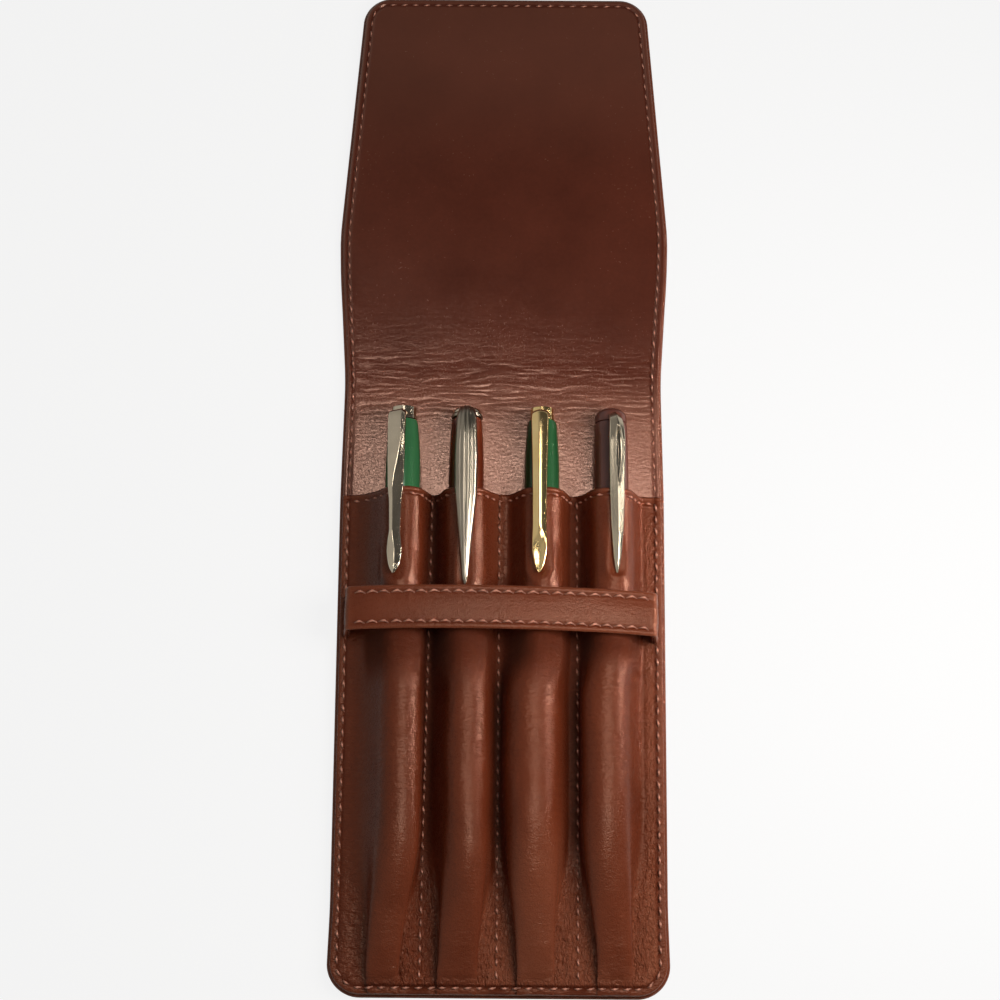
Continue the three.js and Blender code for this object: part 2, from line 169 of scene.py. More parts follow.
def faced_piece(name, lower, upper, tone=None, wrinkle=None, sharp=50):
    """A closed piece between two faces, each rows of points, with a tone and a wrinkle."""
    rows, columns = upper.shape[:2]
    bpy.ops.mesh.primitive_grid_add(x_subdivisions=columns - 1, y_subdivisions=rows - 1, size=2)
    piece = bpy.context.object
    piece.name = name
    piece.data.name = name
    bpy.ops.object.mode_set(mode="EDIT")
    bpy.ops.mesh.select_all(action="SELECT")
    bpy.ops.mesh.extrude_region_move(TRANSFORM_OT_translate={"value": (0, 0, 1)})
    bpy.ops.object.mode_set(mode="OBJECT")
    flat = np.zeros(len(piece.data.vertices) * 3)
    piece.data.vertices.foreach_get("co", flat)
    flat = flat.reshape(-1, 3)
    column = np.unique(np.round(flat[:, 0], 5), return_inverse=True)[1]
    row = np.unique(np.round(flat[:, 1], 5), return_inverse=True)[1]
    is_upper = flat[:, 2] > 0.5
    points = np.where(is_upper[:, None], upper[row, column], lower[row, column]) * MM
    piece.data.vertices.foreach_set("co", points.ravel())
    for kind, values in (("tone", tone), ("wrinkle", wrinkle)):
        store(piece.data, kind, np.zeros(len(points)) if values is None else values[row, column])
    bpy.ops.object.mode_set(mode="EDIT")
    bpy.ops.mesh.select_all(action="SELECT")
    bpy.ops.mesh.normals_make_consistent(inside=False)
    bpy.ops.object.mode_set(mode="OBJECT")
    bpy.ops.object.shade_smooth_by_angle(angle=math.radians(sharp))
    return piece


def stack(x, y, z):
    """Points from their x, with a y and a z that may be single values."""
    return np.stack([x, y + 0 * x, z + 0 * x], axis=-1)


class Shade:
    """A socket of a material's nodes, with arithmetic that adds Math nodes."""

    def __init__(self, tree, socket=None):
        self.tree = tree
        self.socket = socket

    def node(self, kind, settings=None, inputs=None, output=0):
        made = self.tree.nodes.new(kind)
        for key, value in (settings or {}).items():
            setattr(made, key, value)
        for key, value in (inputs or {}).items():
            if isinstance(value, Shade):
                self.tree.links.new(value.socket, made.inputs[key])
            else:
                made.inputs[key].default_value = value
        return Shade(self.tree, made.outputs[output])

    def place(self):
        return self.node("ShaderNodeTexCoord", output="Object")

    def attribute(self, name):
        return self.node("ShaderNodeAttribute", {"attribute_name": name}, output="Fac")

    def noise(self, place, scale, detail, **more):
        inputs = {"Vector": place, "Scale": scale, "Detail": detail}
        return self.node("ShaderNodeTexNoise", None, {**inputs, **more})

    def stretched(self, place, scale, turn=0):
        inputs = {"Vector": place, "Rotation": (0, 0, turn), "Scale": scale}
        return self.node("ShaderNodeMapping", None, inputs)

    def bump(self, strength, distance, height):
        inputs = {"Strength": strength, "Distance": distance * MM, "Height": height}
        return self.node("ShaderNodeBump", None, inputs)

    def mix(self, share, first, second):
        settings = {"data_type": "RGBA", "clamp_factor": True}
        return self.node("ShaderNodeMix", settings, {0: share, 6: first, 7: second}, output=2)

    def math(self, operation, first, second, clamp=False):
        settings = {"operation": operation, "use_clamp": clamp}
        return self.node("ShaderNodeMath", settings, {0: first, 1: second})

    def clamped(self):
        return self.math("ADD", self, 0, clamp=True)

    def __add__(self, other):
        return self.math("ADD", self, other)

    def __sub__(self, other):
        return self.math("SUBTRACT", self, other)

    def __rsub__(self, other):
        return self.math("SUBTRACT", other, self)

    def __mul__(self, other):
        return self.math("MULTIPLY", self, other)

    __radd__ = __add__
    __rmul__ = __mul__


def new_material(name):
    """An empty procedural material, with its tree and its main shader."""
    material = bpy.data.materials.new(name)
    material.use_nodes = True
    return material, Shade(material.node_tree), material.node_tree.nodes["Principled BSDF"]


def feed(shader, **sockets):
    """Links and values for the main shader's sockets, with spaces written as underscores."""
    for key, value in sockets.items():
        target = shader.inputs[key.replace("_", " ")]
        if isinstance(value, Shade):
            value.tree.links.new(value.socket, target)
        else:
            target.default_value = value


def leather(name, deep, body, worn_and_painted_light, roughness, grain, relief, gloss, tint):
    """Dyed leather: mottled colour, darker and duller in its seam grooves and, as painted shade, in creases
    and other shaded places, and paler where it is rubbed and where light is painted on. Its fine grain is
    calmed where wrinkle is below 0, and crumpled where it is above."""
    material, tree, shader = new_material(name)
    place = tree.place()
    tone = tree.attribute("tone")
    wrinkle = tree.attribute("wrinkle")
    clouds = tree.noise(place, 38, 5, Roughness=0.6)
    specks = tree.noise(place, 900, 3, Roughness=0.6)
    pebbles = tree.node(
        "ShaderNodeTexVoronoi", {"feature": "SMOOTH_F1"},
        {"Vector": place, "Scale": 1 / grain, "Smoothness": 0.6, "Randomness": 1},
    )
    creases = tree.noise(place, 0.45 / grain, 4, Roughness=0.65, Distortion=0.6)
    wrinkles = tree.noise(tree.stretched(place, (0.5, 1, 0.6)), 1250, 2, Roughness=0.5)
    folds = tree.noise(tree.stretched(place, (1, 0.42, 0.7), turn=0.6), 1300, 2, Distortion=0.8)
    # The tone mixed in here carries rubbed wear and also the painted light and shade that each piece lays in.
    dye_and_painted_light = (0.5 + 1.1 * (clouds - 0.5) + 0.35 * (specks - 0.5) + 0.5 * tone).clamped()
    colour = tree.mix(dye_and_painted_light, deep, body)
    colour = tree.mix((tone * 0.75).clamped(), colour, worn_and_painted_light)
    lively = (1 + wrinkle).clamped()
    height = 0.25 * pebbles + 0.3 * creases + 0.1 * specks + 2 * wrinkles * lively
    height = height + 6 * wrinkle.clamped() * folds
    # Where the tone is darkest, in seam grooves and where shade is painted in, the leather is made duller as
    # well.
    grime_and_painted_shade = (-0.2 - tone).clamped()
    rough = roughness + 0.06 * (lively - 1) + 1.2 * grime_and_painted_shade + 0.16 * (clouds - 0.5)
    rough = (rough + 0.22 * (pebbles - 0.35) + 0.1 * (specks - 0.5)).clamped()
    feed(shader, Base_Color=colour, Roughness=rough, Normal=tree.bump(relief, 0.3, height))
    feed(shader, Specular_IOR_Level=gloss, Specular_Tint=tint)
    return material


outer_leather = leather(
    "waxed_outer_leather",
    (0.085, 0.016, 0.0065, 1), (0.19, 0.037, 0.0135, 1), (0.32, 0.105, 0.055, 1),
    roughness=0.32, grain=0.36 * MM, relief=0.62, gloss=0.45, tint=(1, 0.62, 0.45, 1),
)


def dress(piece, material, slot, *nodes):
    """Gives a piece its material and hides the CAD nodes that it stands for; its slot is not used."""
    piece.data.materials.append(material)
    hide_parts(*nodes)


def cover(name, rows, end, corner):
    """One piece of the outer leather, hemmed round its edge and grooved outside along the seam."""
    x, y, distance = plan(rows, 41, 0, end, corner)
    bulge = COVER_EDGE * edge_round(distance, COVER_EDGE)
    groove = bell(distance, SEAM_INSET, 0.45)
    inside = smooth(distance, HEM_WIDTH, HEM_WIDTH + 0.5)
    top = COVER_EDGE + bulge
    top += (COVER_FLOOR - top) * inside
    lumps = 0.05 * inside * (1 + unevenness(x / 9, y / 9, 5))
    under = COVER_EDGE - bulge + COVER_GROOVE * groove + lumps
    tone = 0.5 * bell(distance, 0, 0.5) - 0.5 * groove
    return faced_piece(name, stack(x, y, under), stack(x, y, top), tone)


body_rows = np.concatenate([
    BODY_END + EDGE_LINES,
    lines_along(BODY_END + EDGE_LINES[-1], (-138, 0.8), (8, 4), (FOLD_MIDDLE, 0.7))[1:],
])
flap_rows = np.concatenate([
    lines_along(FOLD_MIDDLE, (56, 0.7), (138, 4), (FLAP_END - EDGE_LINES[-1], 0.8))[:-1],
    FLAP_END - EDGE_LINES[::-1],
])
cover_body = cover("cover_body", body_rows, BODY_END, BODY_CORNER)
dress(cover_body, outer_leather, "outer_leather", "back_outer", "fold_outer")
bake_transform(cover_body)
cover_flap = cover("cover_flap", flap_rows, FLAP_END, FLAP_CORNER)
dress(cover_flap, outer_leather, "outer_leather", "flap_outer")
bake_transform(cover_flap)


# Stiff boards between the outer leather and the lining, one in the body and one in the flap.
# Plain grey card, glued in. They are the CAD solids as they are.
board_card, card_tree, card_shader = new_material("board_card")
card_fibres = card_tree.noise(card_tree.place(), 700, 5)
card_colour = card_tree.mix(card_fibres, (0.2, 0.16, 0.12, 1), (0.34, 0.28, 0.21, 1))
card_bump = card_tree.bump(0.3, 0.1, card_fibres)
feed(card_shader, Base_Color=card_colour, Normal=card_bump, Roughness=0.9)
for node in ("back_board", "flap_board"):
    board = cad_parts[node]
    board.data.materials.clear()
    board.data.materials.append(board_card)


# The lining: a thinner hide glued inside, a little smaller than the outer leather and sewn to its
# turned edge all round. Years of opening have left fine creases across the fold.
LINING_INSET = 0.8
LINING_EDGE = 0.36
LINING_LEVEL = 2.36
LINING_SEAM = SEAM_INSET - LINING_INSET
STITCH_PITCH = 3.4

lining_leather = leather(
    "lining_leather",
    (0.07, 0.0155, 0.0085, 1), (0.155, 0.034, 0.018, 1), (0.32, 0.14, 0.095, 1),
    roughness=0.2, grain=0.45 * MM, relief=0.08, gloss=1.0, tint=(1, 0.64, 0.5, 1),
)


def welt(distance, width):
    """A low welt along an edge, from 0 at the edge up to 1 and back to 0 at its width."""
    return np.sin(np.pi * np.clip(distance / width, 0, 1))


def pucker(along, depth):
    """How far a seam is drawn in at each place along it, deepest at the stitches."""
    return 1 - depth + depth * np.cos(2 * np.pi * along / STITCH_PITCH)


def fold_creases(x, y):
    """Short broken creases across the fold, closest and deepest towards the pens."""
    drift = 0.9 * unevenness(x / 15, y / 9, 3) + 0.5 * unevenness(x / 5, y / 4, 4)
    amount = smooth(y, 8, 22) * (1 - 0.8 * smooth(y, 27, 37)) * (1 - smooth(y, 42, 56))
    creases = 0 * x
    for pitch, depth, run, seed in ((1.3, 0.08, 12, 11), (0.85, 0.065, 7, 12)):
        fold = unevenness(x / run + seed, (y + drift) / pitch, seed)
        creases -= depth * np.clip(1 - np.sqrt(np.abs(fold) + 0.01), 0, 1) ** 1.5
    return creases * amount


def lining(name, rows, end, corner):
    """One piece of the lining, hollow at the fold, and paler by the pens as rubbed wear with a painted sheen.
    """
    x, y, distance = plan(rows, 170, LINING_INSET, end, corner)
    bulge = LINING_EDGE * edge_round(distance, 0.5)
    along = np.where(np.abs(y - end) < 6, x, y)
    groove = bell(distance, LINING_SEAM, 0.4)
    inside = smooth(distance, LINING_SEAM, LINING_SEAM + 3)
    pocket_free = smooth(y, -14, -7)
    creases = fold_creases(x, y)
    hollow = 0.5 * smooth(y, 13, 36) * (1 - smooth(y, 42, 110))
    lumps = 0.07 * inside * pocket_free * unevenness(x / 21, y / 17, 6)
    top = LINING_LEVEL + bulge + 0.14 * welt(distance, LINING_SEAM)
    top -= 0.26 * groove * pucker(along, 0.25) * pocket_free
    top += creases * smooth(distance, 0.3, 3) - hollow + lumps
    under = np.minimum(LINING_LEVEL - bulge - 0.17 * smooth(distance, 2.8, 3.2), top - 0.25)
    # Paler along its rubbed edge and darker in the seam's groove; darker in the fold's creases, as painted
    # shade.
    tone = 0.35 * bell(distance, 0, 0.4) - 0.6 * groove + 0.9 * creases
    # Paler by the pens, as rubbed wear and a painted sheen, then darker just above the pocket's mouth, most
    # at the left, as painted shade.
    tone += 0.8 * smooth(-y, -32, -12) - smooth(-y, -12, 6) * (0.3 + 0.6 * smooth(-x, 26, 38))
    # Paler towards the flap's tip, as painted light, and darker in a band just past the middle of the fold,
    # as painted shade.
    tone += 0.3 * smooth(y, 85, 135) - 0.18 * smooth(y, 33, 40) * (1 - smooth(y, 52, 76))
    calm = -0.35 * smooth(y, 24, 36) - 0.55 * smooth(y, 36, 56)
    return faced_piece(name, stack(x, y, under), stack(x, y, top), tone, calm)


low_end, high_end = BODY_END + LINING_INSET, FLAP_END - LINING_INSET
low_lines = lines_along(low_end + EDGE_LINES[-1], (-138, 0.8), (-12, 5), (12, 0.8), (FOLD_MIDDLE, 0.32))
high_lines = lines_along(FOLD_MIDDLE, (52, 0.32), (62, 0.6), (high_end - EDGE_LINES[-1], 1.4))
body_lines = np.concatenate([low_end + EDGE_LINES, low_lines[1:]])
flap_lines = np.concatenate([high_lines[:-1], high_end - EDGE_LINES[::-1]])
lining_body = lining("lining_body", body_lines, BODY_END, BODY_CORNER)
dress(lining_body, lining_leather, "lining_leather", "back_lining", "fold_lining")
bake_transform(lining_body)
lining_flap = lining("lining_flap", flap_lines, FLAP_END, FLAP_CORNER)
dress(lining_flap, lining_leather, "lining_leather", "flap_lining")
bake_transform(lining_flap)


# The pocket: one leather sewn down round three sides and along three dividers, so that it stands
# in four channels over the pens. At the foot each channel's spare width is laid in a box pleat.
POCKET_MOUTH = -8.5
POCKET_INSET = 0.9
POCKET_HALF = BODY_HALF - POCKET_INSET
POCKET_UNDER = 2.82
POCKET_LEATHER = 0.95
POCKET_TOP = POCKET_UNDER + POCKET_LEATHER
KEPT_MIDDLE = 34
BOTTOM_SEAM = -144.2
SIDE_SEAM = 43.4
MOUTH_SEAM = 1.9
DIVIDERS = (1, 2, 3)
SEAMS_LOW = (-SIDE_SEAM, -21.2, -0.5, 21.4, SIDE_SEAM)
SEAMS_HIGH = (-SIDE_SEAM, -19.6, -0.6, 21.2, SIDE_SEAM)
PEN_AXIS = 7.9
PEN_MIDDLES = (-28, -10.1, 11.2, 30.7)
PEN_TURNS = (-14, 0, -6, 11)
CLIP_ENDS = (-33.8, -36.5, -33.3, -33.0)
CLIP_WIDTHS = (2.1, 1.3, 1.9, 1.4)
CHANNEL_RADIUS = 6.5
HUG = math.radians(60)
PLEATS = ((-35.9, -26.6), (-16.8, -5.4), (4.6, 15.2), (26.2, 36.2))
PLEAT_FOOT = -145.5
PLEAT_ENDS = ((-100, -102), (-96, -106), (-96, -100), (-100, -94))
TIGHT_RIGHT = (0, 0, 0.35, 0.5)
LEANS = (0.5, 0.7, -2.6, -2.0)
SLACK = (0, 0, 1.7, 0.8)
flank = np.linspace(0, 1, 19)
over = np.linspace(-1, 1, 21)


def seam_place(number, y):
    """Where a line of stitching lies, from the left side seam, 0, to the right, 4."""
    share = np.clip((y - BOTTOM_SEAM) / (POCKET_MOUTH - BOTTOM_SEAM), 0, 1)
    return SEAMS_LOW[number] + (SEAMS_HIGH[number] - SEAMS_LOW[number]) * share


def channel_side(middle, axis, radius, seam, side, tightness):
    """Leather from the stitching up to where it hugs the pen, as x and z over the flank lines."""
    reach = np.abs(middle - seam)
    hug_reach = radius * math.sin(HUG)
    run = np.maximum((reach - 0.45 - hug_reach) * (1 - tightness), 0.8)
    distance = reach + (hug_reach - reach) * flank
    part = np.clip((distance - hug_reach) / run, 0, 1)
    drop = axis + radius * math.cos(HUG) - POCKET_TOP
    ease = (2 * part - 3) * part * part + 1
    swing = ((part - 2) * part + 1) * part
    return middle + side * distance, POCKET_TOP + drop * ease - math.tan(HUG) * run * swing


def pleat_side(edge, seam, side, rise):
    """The same leather at the foot: flat, then folded back under the edge of the pleat."""
    tuck = edge - side * 1.3
    places = (0, 0.5, 0.66, 0.76, 0.86, 0.94, 1)
    x_share = (0, 0.96, 1.06, 1.1, 0.8, 0.3, 0)
    z_share = (0, 0.02, 0.1, 0.3, 0.5, 0.62, 0.74)
    from_seam = np.interp(flank, places, (0, 0.96, 1, 1, 1, 1, 1))
    tucked = np.interp(flank, places, x_share)
    x = np.where(flank <= 0.5, seam + (tuck - seam) * from_seam, edge + (tuck - edge) * tucked)
    return x, POCKET_TOP + rise * np.interp(flank, places, z_share)


def channel(number, y):
    """One channel of the pocket over rows of y, from its left stitching to its right."""
    loose = smooth(-y, 51, 68)
    middle = PEN_MIDDLES[number] + LEANS[number] * loose
    radius = CHANNEL_RADIUS + SLACK[number] * loose
    axis = PEN_AXIS - 0.9 * SLACK[number] * loose
    low, high = PLEATS[number]
    rise = np.interp(y, (-146.6, -144.2, -141, -134), (0.7, 0.95, 2.1, 2.8))
    fade_left, fade_right = (smooth(y, PLEAT_FOOT, end) for end in PLEAT_ENDS[number])
    angle = HUG * over
    arc_x, arc_z = middle + radius * np.sin(angle), axis + radius * np.cos(angle)
    face_x = low + (high - low) * (over + 1) / 2
    crown = 0.74 + 0.26 * np.sqrt(np.clip(1 - over**6, 0, 1)) + 0.15 * (1 - over**2)
    face_z = POCKET_TOP + rise * crown
    fade = fade_left + (fade_right - fade_left) * (over + 1) / 2
    face = stack(face_x + (arc_x - face_x) * fade, y, face_z + (arc_z - face_z) * fade)
    sides = []
    for seam, edge, side, share, tightness in (
        (number, low, -1, fade_left, 0),
        (number + 1, high, 1, fade_right, TIGHT_RIGHT[number]),
    ):
        seam_x = seam_place(seam, y)
        round_x, round_z = channel_side(middle, axis, radius, seam_x, side, tightness)
        pleat_x, pleat_z = pleat_side(edge, seam_x, side, rise)
        sides.append(stack(pleat_x + (round_x - pleat_x) * share, y, pleat_z + (round_z - pleat_z) * share))
    return np.concatenate([sides[0], face[:, 1:-1], sides[1][:, ::-1]], axis=1)


def soften(values, times):
    """Evens out values along their first axis, with both ends kept."""
    for _ in range(times):
        values[1:-1] = (values[:-2] + 2 * values[1:-1] + values[2:]) / 4


def face_normals(points):
    """Directions square to a face that is given as rows of points."""
    across = np.gradient(points, axis=1)
    along = np.gradient(points, axis=0)
    normal = np.cross(across, along)
    return normal / np.maximum(np.linalg.norm(normal, axis=-1, keepdims=True), 1e-9)


def worked_pocket(points):
    """The pocket's leather with its folds: both faces, the ways out of it, its tone and its wrinkle."""
    x, y, z = points[..., 0], points[..., 1], points[..., 2]
    edge = edge_distance(x, y, POCKET_INSET, BODY_END, BODY_CORNER)
    mouth = POCKET_MOUTH - y
    normal = face_normals(points)

    swell = 0.22 * unevenness(x / 7, y / 17, 21) + 0.1 * unevenness(x / 3.1, y / 5, 22)
    raised = smooth(z, POCKET_TOP + 0.5, POCKET_TOP + 3)
    drift = 1.6 * unevenness(x / 5, y / 6, 23)
    ripples = 0.05 * (1 - np.abs(np.sin(np.pi * (y + drift) / 2.3)))
    ripples *= smooth(unevenness(x / 9, y / 14, 24), 0.1, 0.7)
    ripples *= 1 - 0.75 * smooth(y, -46, -36)
    crumple = 0.34 * unevenness(x / 1.1 + y / 2.6, y / 1.5 - x / 3, 25)
    crumple *= smooth(-y, 116, 126) * (1 - raised) * smooth(edge, 2.5, 5)
    middle_gather = np.exp(-(((x - seam_place(2, y)) / 2.3) ** 4)) * smooth(y, -40, -27)
    gather = 1.6 * middle_gather
    for number in DIVIDERS:
        near = bell(x, seam_place(number, y), 2.6) * smooth(y, -24, -12)
        gather += near * (0.55 * unevenness(x / 1.3, y / 1.1, 30 + number) + 0.25)
    hem = 0.34 * welt(mouth, 1.7) - 0.3 * bell(mouth, MOUTH_SEAM, 0.35)
    dents = 0 * x
    for number, middle in enumerate(PEN_MIDDLES):
        bearing = np.arctan2(x - middle, z - PEN_AXIS) - math.radians(PEN_TURNS[number])
        below = np.clip(CLIP_ENDS[number] + CLIP_WIDTHS[number] - y, 0, None)
        away = np.hypot(CHANNEL_RADIUS * bearing, below) / CLIP_WIDTHS[number]
        here = np.abs(x - middle) < 9
        dents -= here * 0.5 * np.exp(-((away / 1.1) ** 4))
        dents += here * 0.4 * bell(away, 2.1, 0.55) * smooth(-y, 20, 31)
    side_groove = bell(edge, 2.0, 0.45)
    side_work = 0.12 * welt(edge, 1.9) - 0.3 * side_groove * pucker(y, 0.2)
    flat_rim = (1 - raised) * smooth(6 - edge, 0, 2)
    work = raised * (swell + ripples + dents) + crumple + gather
    work += hem * smooth(4 - mouth, 0, 1) + side_work * flat_rim

    face = points + normal * work[..., None]
    rounding = 0.5 * (1 - edge_round(mouth, 0.5)) + 0.45 * (1 - edge_round(edge, 0.45))
    thin = POCKET_LEATHER - 0.5 * (1 - smooth(y, -130, -108)) * smooth(edge, 3, 5)
    upper = face - normal * rounding[..., None]
    lower = face - normal * (thin - rounding)[..., None]
    lower[..., 2] = np.maximum(lower[..., 2], POCKET_UNDER)
    lower[..., 2] = np.minimum(lower[..., 2], upper[..., 2] - 0.05)

    low_foot = smooth(-y, 104, 124) * (1 - raised) * smooth(edge, 1.6, 2.8)
    low_foot *= 1 - 0.8 * smooth(-x, 33, 36)
    right_gather = smooth(x, 37.5, 40.5) * smooth(2.4 - np.abs(edge - 3.4), 0, 1.5)
    right_gather *= smooth(-y, 10, 20)
    wrinkle = np.clip(low_foot + 0.8 * middle_gather + 0.7 * right_gather, 0, 1)
    wrinkle -= raised * (0.35 + 0.4 * smooth(-y, 84, 108) + 0.45 * smooth(y, -56, -42))
    tone = 0.45 * bell(edge, 0, 0.5) + 0.3 * bell(mouth, 0.7, 0.7)
    tone += 2.2 * ripples - 0.8 * side_groove * flat_rim
    # Paler on the crumpled leather at the foot, more to the right, as a painted sheen.
    tone += (0.1 + 0.3 * smooth(x, -12, -2)) * low_foot
    tone += 0.35 * middle_gather + 0.25 * right_gather
    # Darker in the flat valleys beside the dividers, as painted shade.
    for number in DIVIDERS:
        valley = 1 - smooth(np.abs(x - seam_place(number, y)), 1.5, 4)
        tone -= 0.6 * valley * (1 - raised) * (1 - low_foot) * (1 - middle_gather)
    # The channels paler towards the foot, the third channel most, as painted light.
    third_foot = smooth(x, 1, 6) * (1 - smooth(x, 18, 23))
    tone += raised * smooth(-y, 96, 116) * (0.12 + 0.25 * third_foot)
    # Darker on the channels just under the strap, as a painted shadow.
    strap_shade = smooth(-y, 47, 50) * (1 - smooth(-y, 52, 71 - 8 * smooth(x, 19, 25)))
    tone -= 0.85 * raised * strap_shade
    return lower, upper, normal, tone, wrinkle


foot_rows = BODY_END + POCKET_INSET + EDGE_LINES[:13]
middle_rows = lines_along(foot_rows[-1], (-118, 0.6), (-60, 1), (-36, 0.8), (-30, 0.6), (-12, 0.8))
pocket_rows = np.concatenate([foot_rows, middle_rows[1:], POCKET_MOUTH - EDGE_LINES[10::-1]])
row_y = pocket_rows[:, None]
channels = [channel(number, row_y) for number in range(4)]
margin = EDGE_LINES[:8] * (POCKET_HALF - SIDE_SEAM) / EDGE_LINES[8] + 0 * row_y
left_margin = stack(margin - POCKET_HALF, row_y, POCKET_TOP)
right_margin = stack(POCKET_HALF - margin[:, ::-1], row_y, POCKET_TOP)
later_channels = [part[:, 1:] for part in channels[1:]]
pocket = np.concatenate([left_margin, channels[0], *later_channels, right_margin], axis=1)
soften(pocket[..., 0].T, 2)
soften(pocket[..., 2].T, 2)
pocket_half = narrowed_half(row_y, POCKET_INSET, BODY_END, BODY_CORNER)
outside = np.clip(np.abs(pocket[..., 0]) - KEPT_MIDDLE, 0, None)
outside *= (pocket_half - KEPT_MIDDLE) / (POCKET_HALF - KEPT_MIDDLE)
inner_x = np.clip(pocket[..., 0], -KEPT_MIDDLE, KEPT_MIDDLE)
pocket[..., 0] = inner_x + np.sign(pocket[..., 0]) * outside
pocket_lower, pocket_upper, pocket_normal, pocket_tone, pocket_wrinkle = worked_pocket(pocket)
pocket_leather = faced_piece("pocket", pocket_lower, pocket_upper, pocket_tone, pocket_wrinkle, sharp=70)
dress(pocket_leather, outer_leather, "outer_leather", "pocket_panel")
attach(pocket_leather, "case")


# The strap across the channels, which the flap is tucked under: two leathers sewn together along
# both edges, with the ends bent down and sewn into the side seams. It sits a little askew.
STRAP_MIDDLE = -44.3
STRAP_WIDTH = 12.2
STRAP_TOP = 16.35
STRAP_TILT = math.radians(-0.8)
STRAP_LEATHER = 0.95
STRAP_PROUD = 0.1
STRAP_BACKING = 0.6
BACKING_DEPTH = 0.9
BACKING_INSET = 0.35
STRAP_SEAM = 1.9
STRAP_ARCH = 0.8
STRAP_SAG = 1.2
STRAP_BOW = 0.8
STRAP_FLAT = 41.2
STRAP_CORNER = 1.5
STRAP_HALF = STRAP_FLAT + STRAP_CORNER


def strap_rise(x):
    """How far the strap stands up, arched over the pens and drawn down at both ends."""
    share = np.clip(np.abs(x) / STRAP_FLAT, 0, 1)
    return STRAP_ARCH * (1 - share**2) - STRAP_SAG * share**6


def strap_bow(x):
    """How far the strap is bowed towards the flap."""
    return STRAP_BOW * (1 - np.clip(np.abs(x) / STRAP_HALF, 0, 1) ** 2)


def strap_path():
    """Upper side of the strap from foot to foot, as x and z with directions square to it."""
    bend = np.radians(np.linspace(19.4, 90, 12))
    bend_x = STRAP_FLAT + STRAP_CORNER * np.cos(bend)
    bend_z = STRAP_TOP - STRAP_CORNER + STRAP_CORNER * np.sin(bend)
    flat_x = np.linspace(STRAP_FLAT, 0, 46)[1:]
    half_x = np.concatenate([[43.6, 43.58, 43.55], np.linspace(43.5, 42.75, 14), bend_x, flat_x])
    half_z = np.concatenate([[3.8, 4.2, 4.6], np.linspace(5.0, 15.0, 14), bend_z, 0 * flat_x + STRAP_TOP])
    path_x = np.concatenate([-half_x, half_x[-2::-1]])
    path_z = np.concatenate([half_z, half_z[-2::-1]])
    path_z += strap_rise(path_x) * smooth(path_z, 5, 13)
    step_x, step_z = np.gradient(path_x), np.gradient(path_z)
    size = np.hypot(step_x, step_z)
    return path_x, path_z, -step_z / size, step_x / size


def strap_layer(top_depth, depth, width, worked):
    """One leather of the strap: both faces and its tone. Worked is 1 where seams show."""
    path_x, path_z, square_x, square_z = strap_path()
    rim = EDGE_LINES[:12]
    across = np.concatenate([rim, np.linspace(rim[-1], width - rim[-1], 15)[1:-1], width - rim[::-1]])
    edge = np.minimum(across, width - across)[:, None]
    offset = across[:, None] - width / 2
    groove = bell(edge, STRAP_SEAM, 0.4) * pucker(path_x, 0.3) * smooth(42 - np.abs(path_x), 0, 2)
    crown = 0.18 * smooth(edge, 2.2, 5)
    lump = 0.1 * unevenness(path_x / 11, offset / 5, 41)
    half = depth / 2
    bulge = half * edge_round(edge, 0.5)
    middle = -top_depth - half
    upper = middle + bulge + (0.12 * welt(edge, STRAP_SEAM) - 0.3 * groove + crown + lump) * worked
    lower = middle - bulge + 0 * path_x
    faces = []
    for level in (lower, upper):
        x = path_x + square_x * level
        z = path_z + square_z * level
        turned_x = x * math.cos(STRAP_TILT) - offset * math.sin(STRAP_TILT)
        turned_y = x * math.sin(STRAP_TILT) + offset * math.cos(STRAP_TILT)
        faces.append(np.stack([turned_x, turned_y + STRAP_MIDDLE + strap_bow(x), z], axis=-1))
    # Paler along its rubbed edges, darker in the seam grooves, and paler along the bends at both ends, as
    # rubbed wear and a painted highlight.
    tone = 0.5 * bell(edge, 0, 0.55) + 0.8 * bell(np.abs(path_x), 42.3, 0.6) - 0.5 * groove
    return *faces, tone


lower, upper, tone = strap_layer(-STRAP_PROUD, STRAP_LEATHER, STRAP_WIDTH, 1)
strap = faced_piece("strap", lower, upper, tone, 0 * tone - 0.75)
dress(strap, outer_leather, "outer_leather", "strap_outer")
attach(strap, "case")
lower, upper, tone = strap_layer(BACKING_DEPTH, STRAP_BACKING, STRAP_WIDTH - 2 * BACKING_INSET, 0)
strap_backing = faced_piece("strap_backing", lower, upper, tone)
dress(strap_backing, lining_leather, "lining_leather", "strap_lining")
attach(strap_backing, "case")


# The stitching: waxed thread, a shade paler than the leather, in slanted stitches that dip into
# their holes. Each stitch is its own short arch of thread, and one seam's stitches are one piece.
THREAD = 0.34
STITCH_LENGTH = 2.4
GOLDEN_TURN = 2.39996
SEAM_STOP = 1.5
LINING_STITCH = LINING_LEVEL + LINING_EDGE - 0.1

thread, thread_tree, thread_shader = new_material("waxed_thread")
thread_fuzz = thread_tree.noise(thread_tree.place(), 2600, 3)
# Each stitch's tone paints it darker towards its ends, as shade where the thread dips into its holes, and
# palest at its knot, partly as a painted highlight.
thread_share = (thread_tree.attribute("tone") + 0.5 * (thread_fuzz - 0.5)).clamped()
thread_colour = thread_tree.mix(thread_share, (0.09, 0.022, 0.012, 1), (0.8, 0.36, 0.25, 1))
feed(thread_shader, Base_Color=thread_colour, Normal=thread_tree.bump(0.4, 0.08, thread_fuzz))
feed(thread_shader, Roughness=0.4, Specular_IOR_Level=0.4)


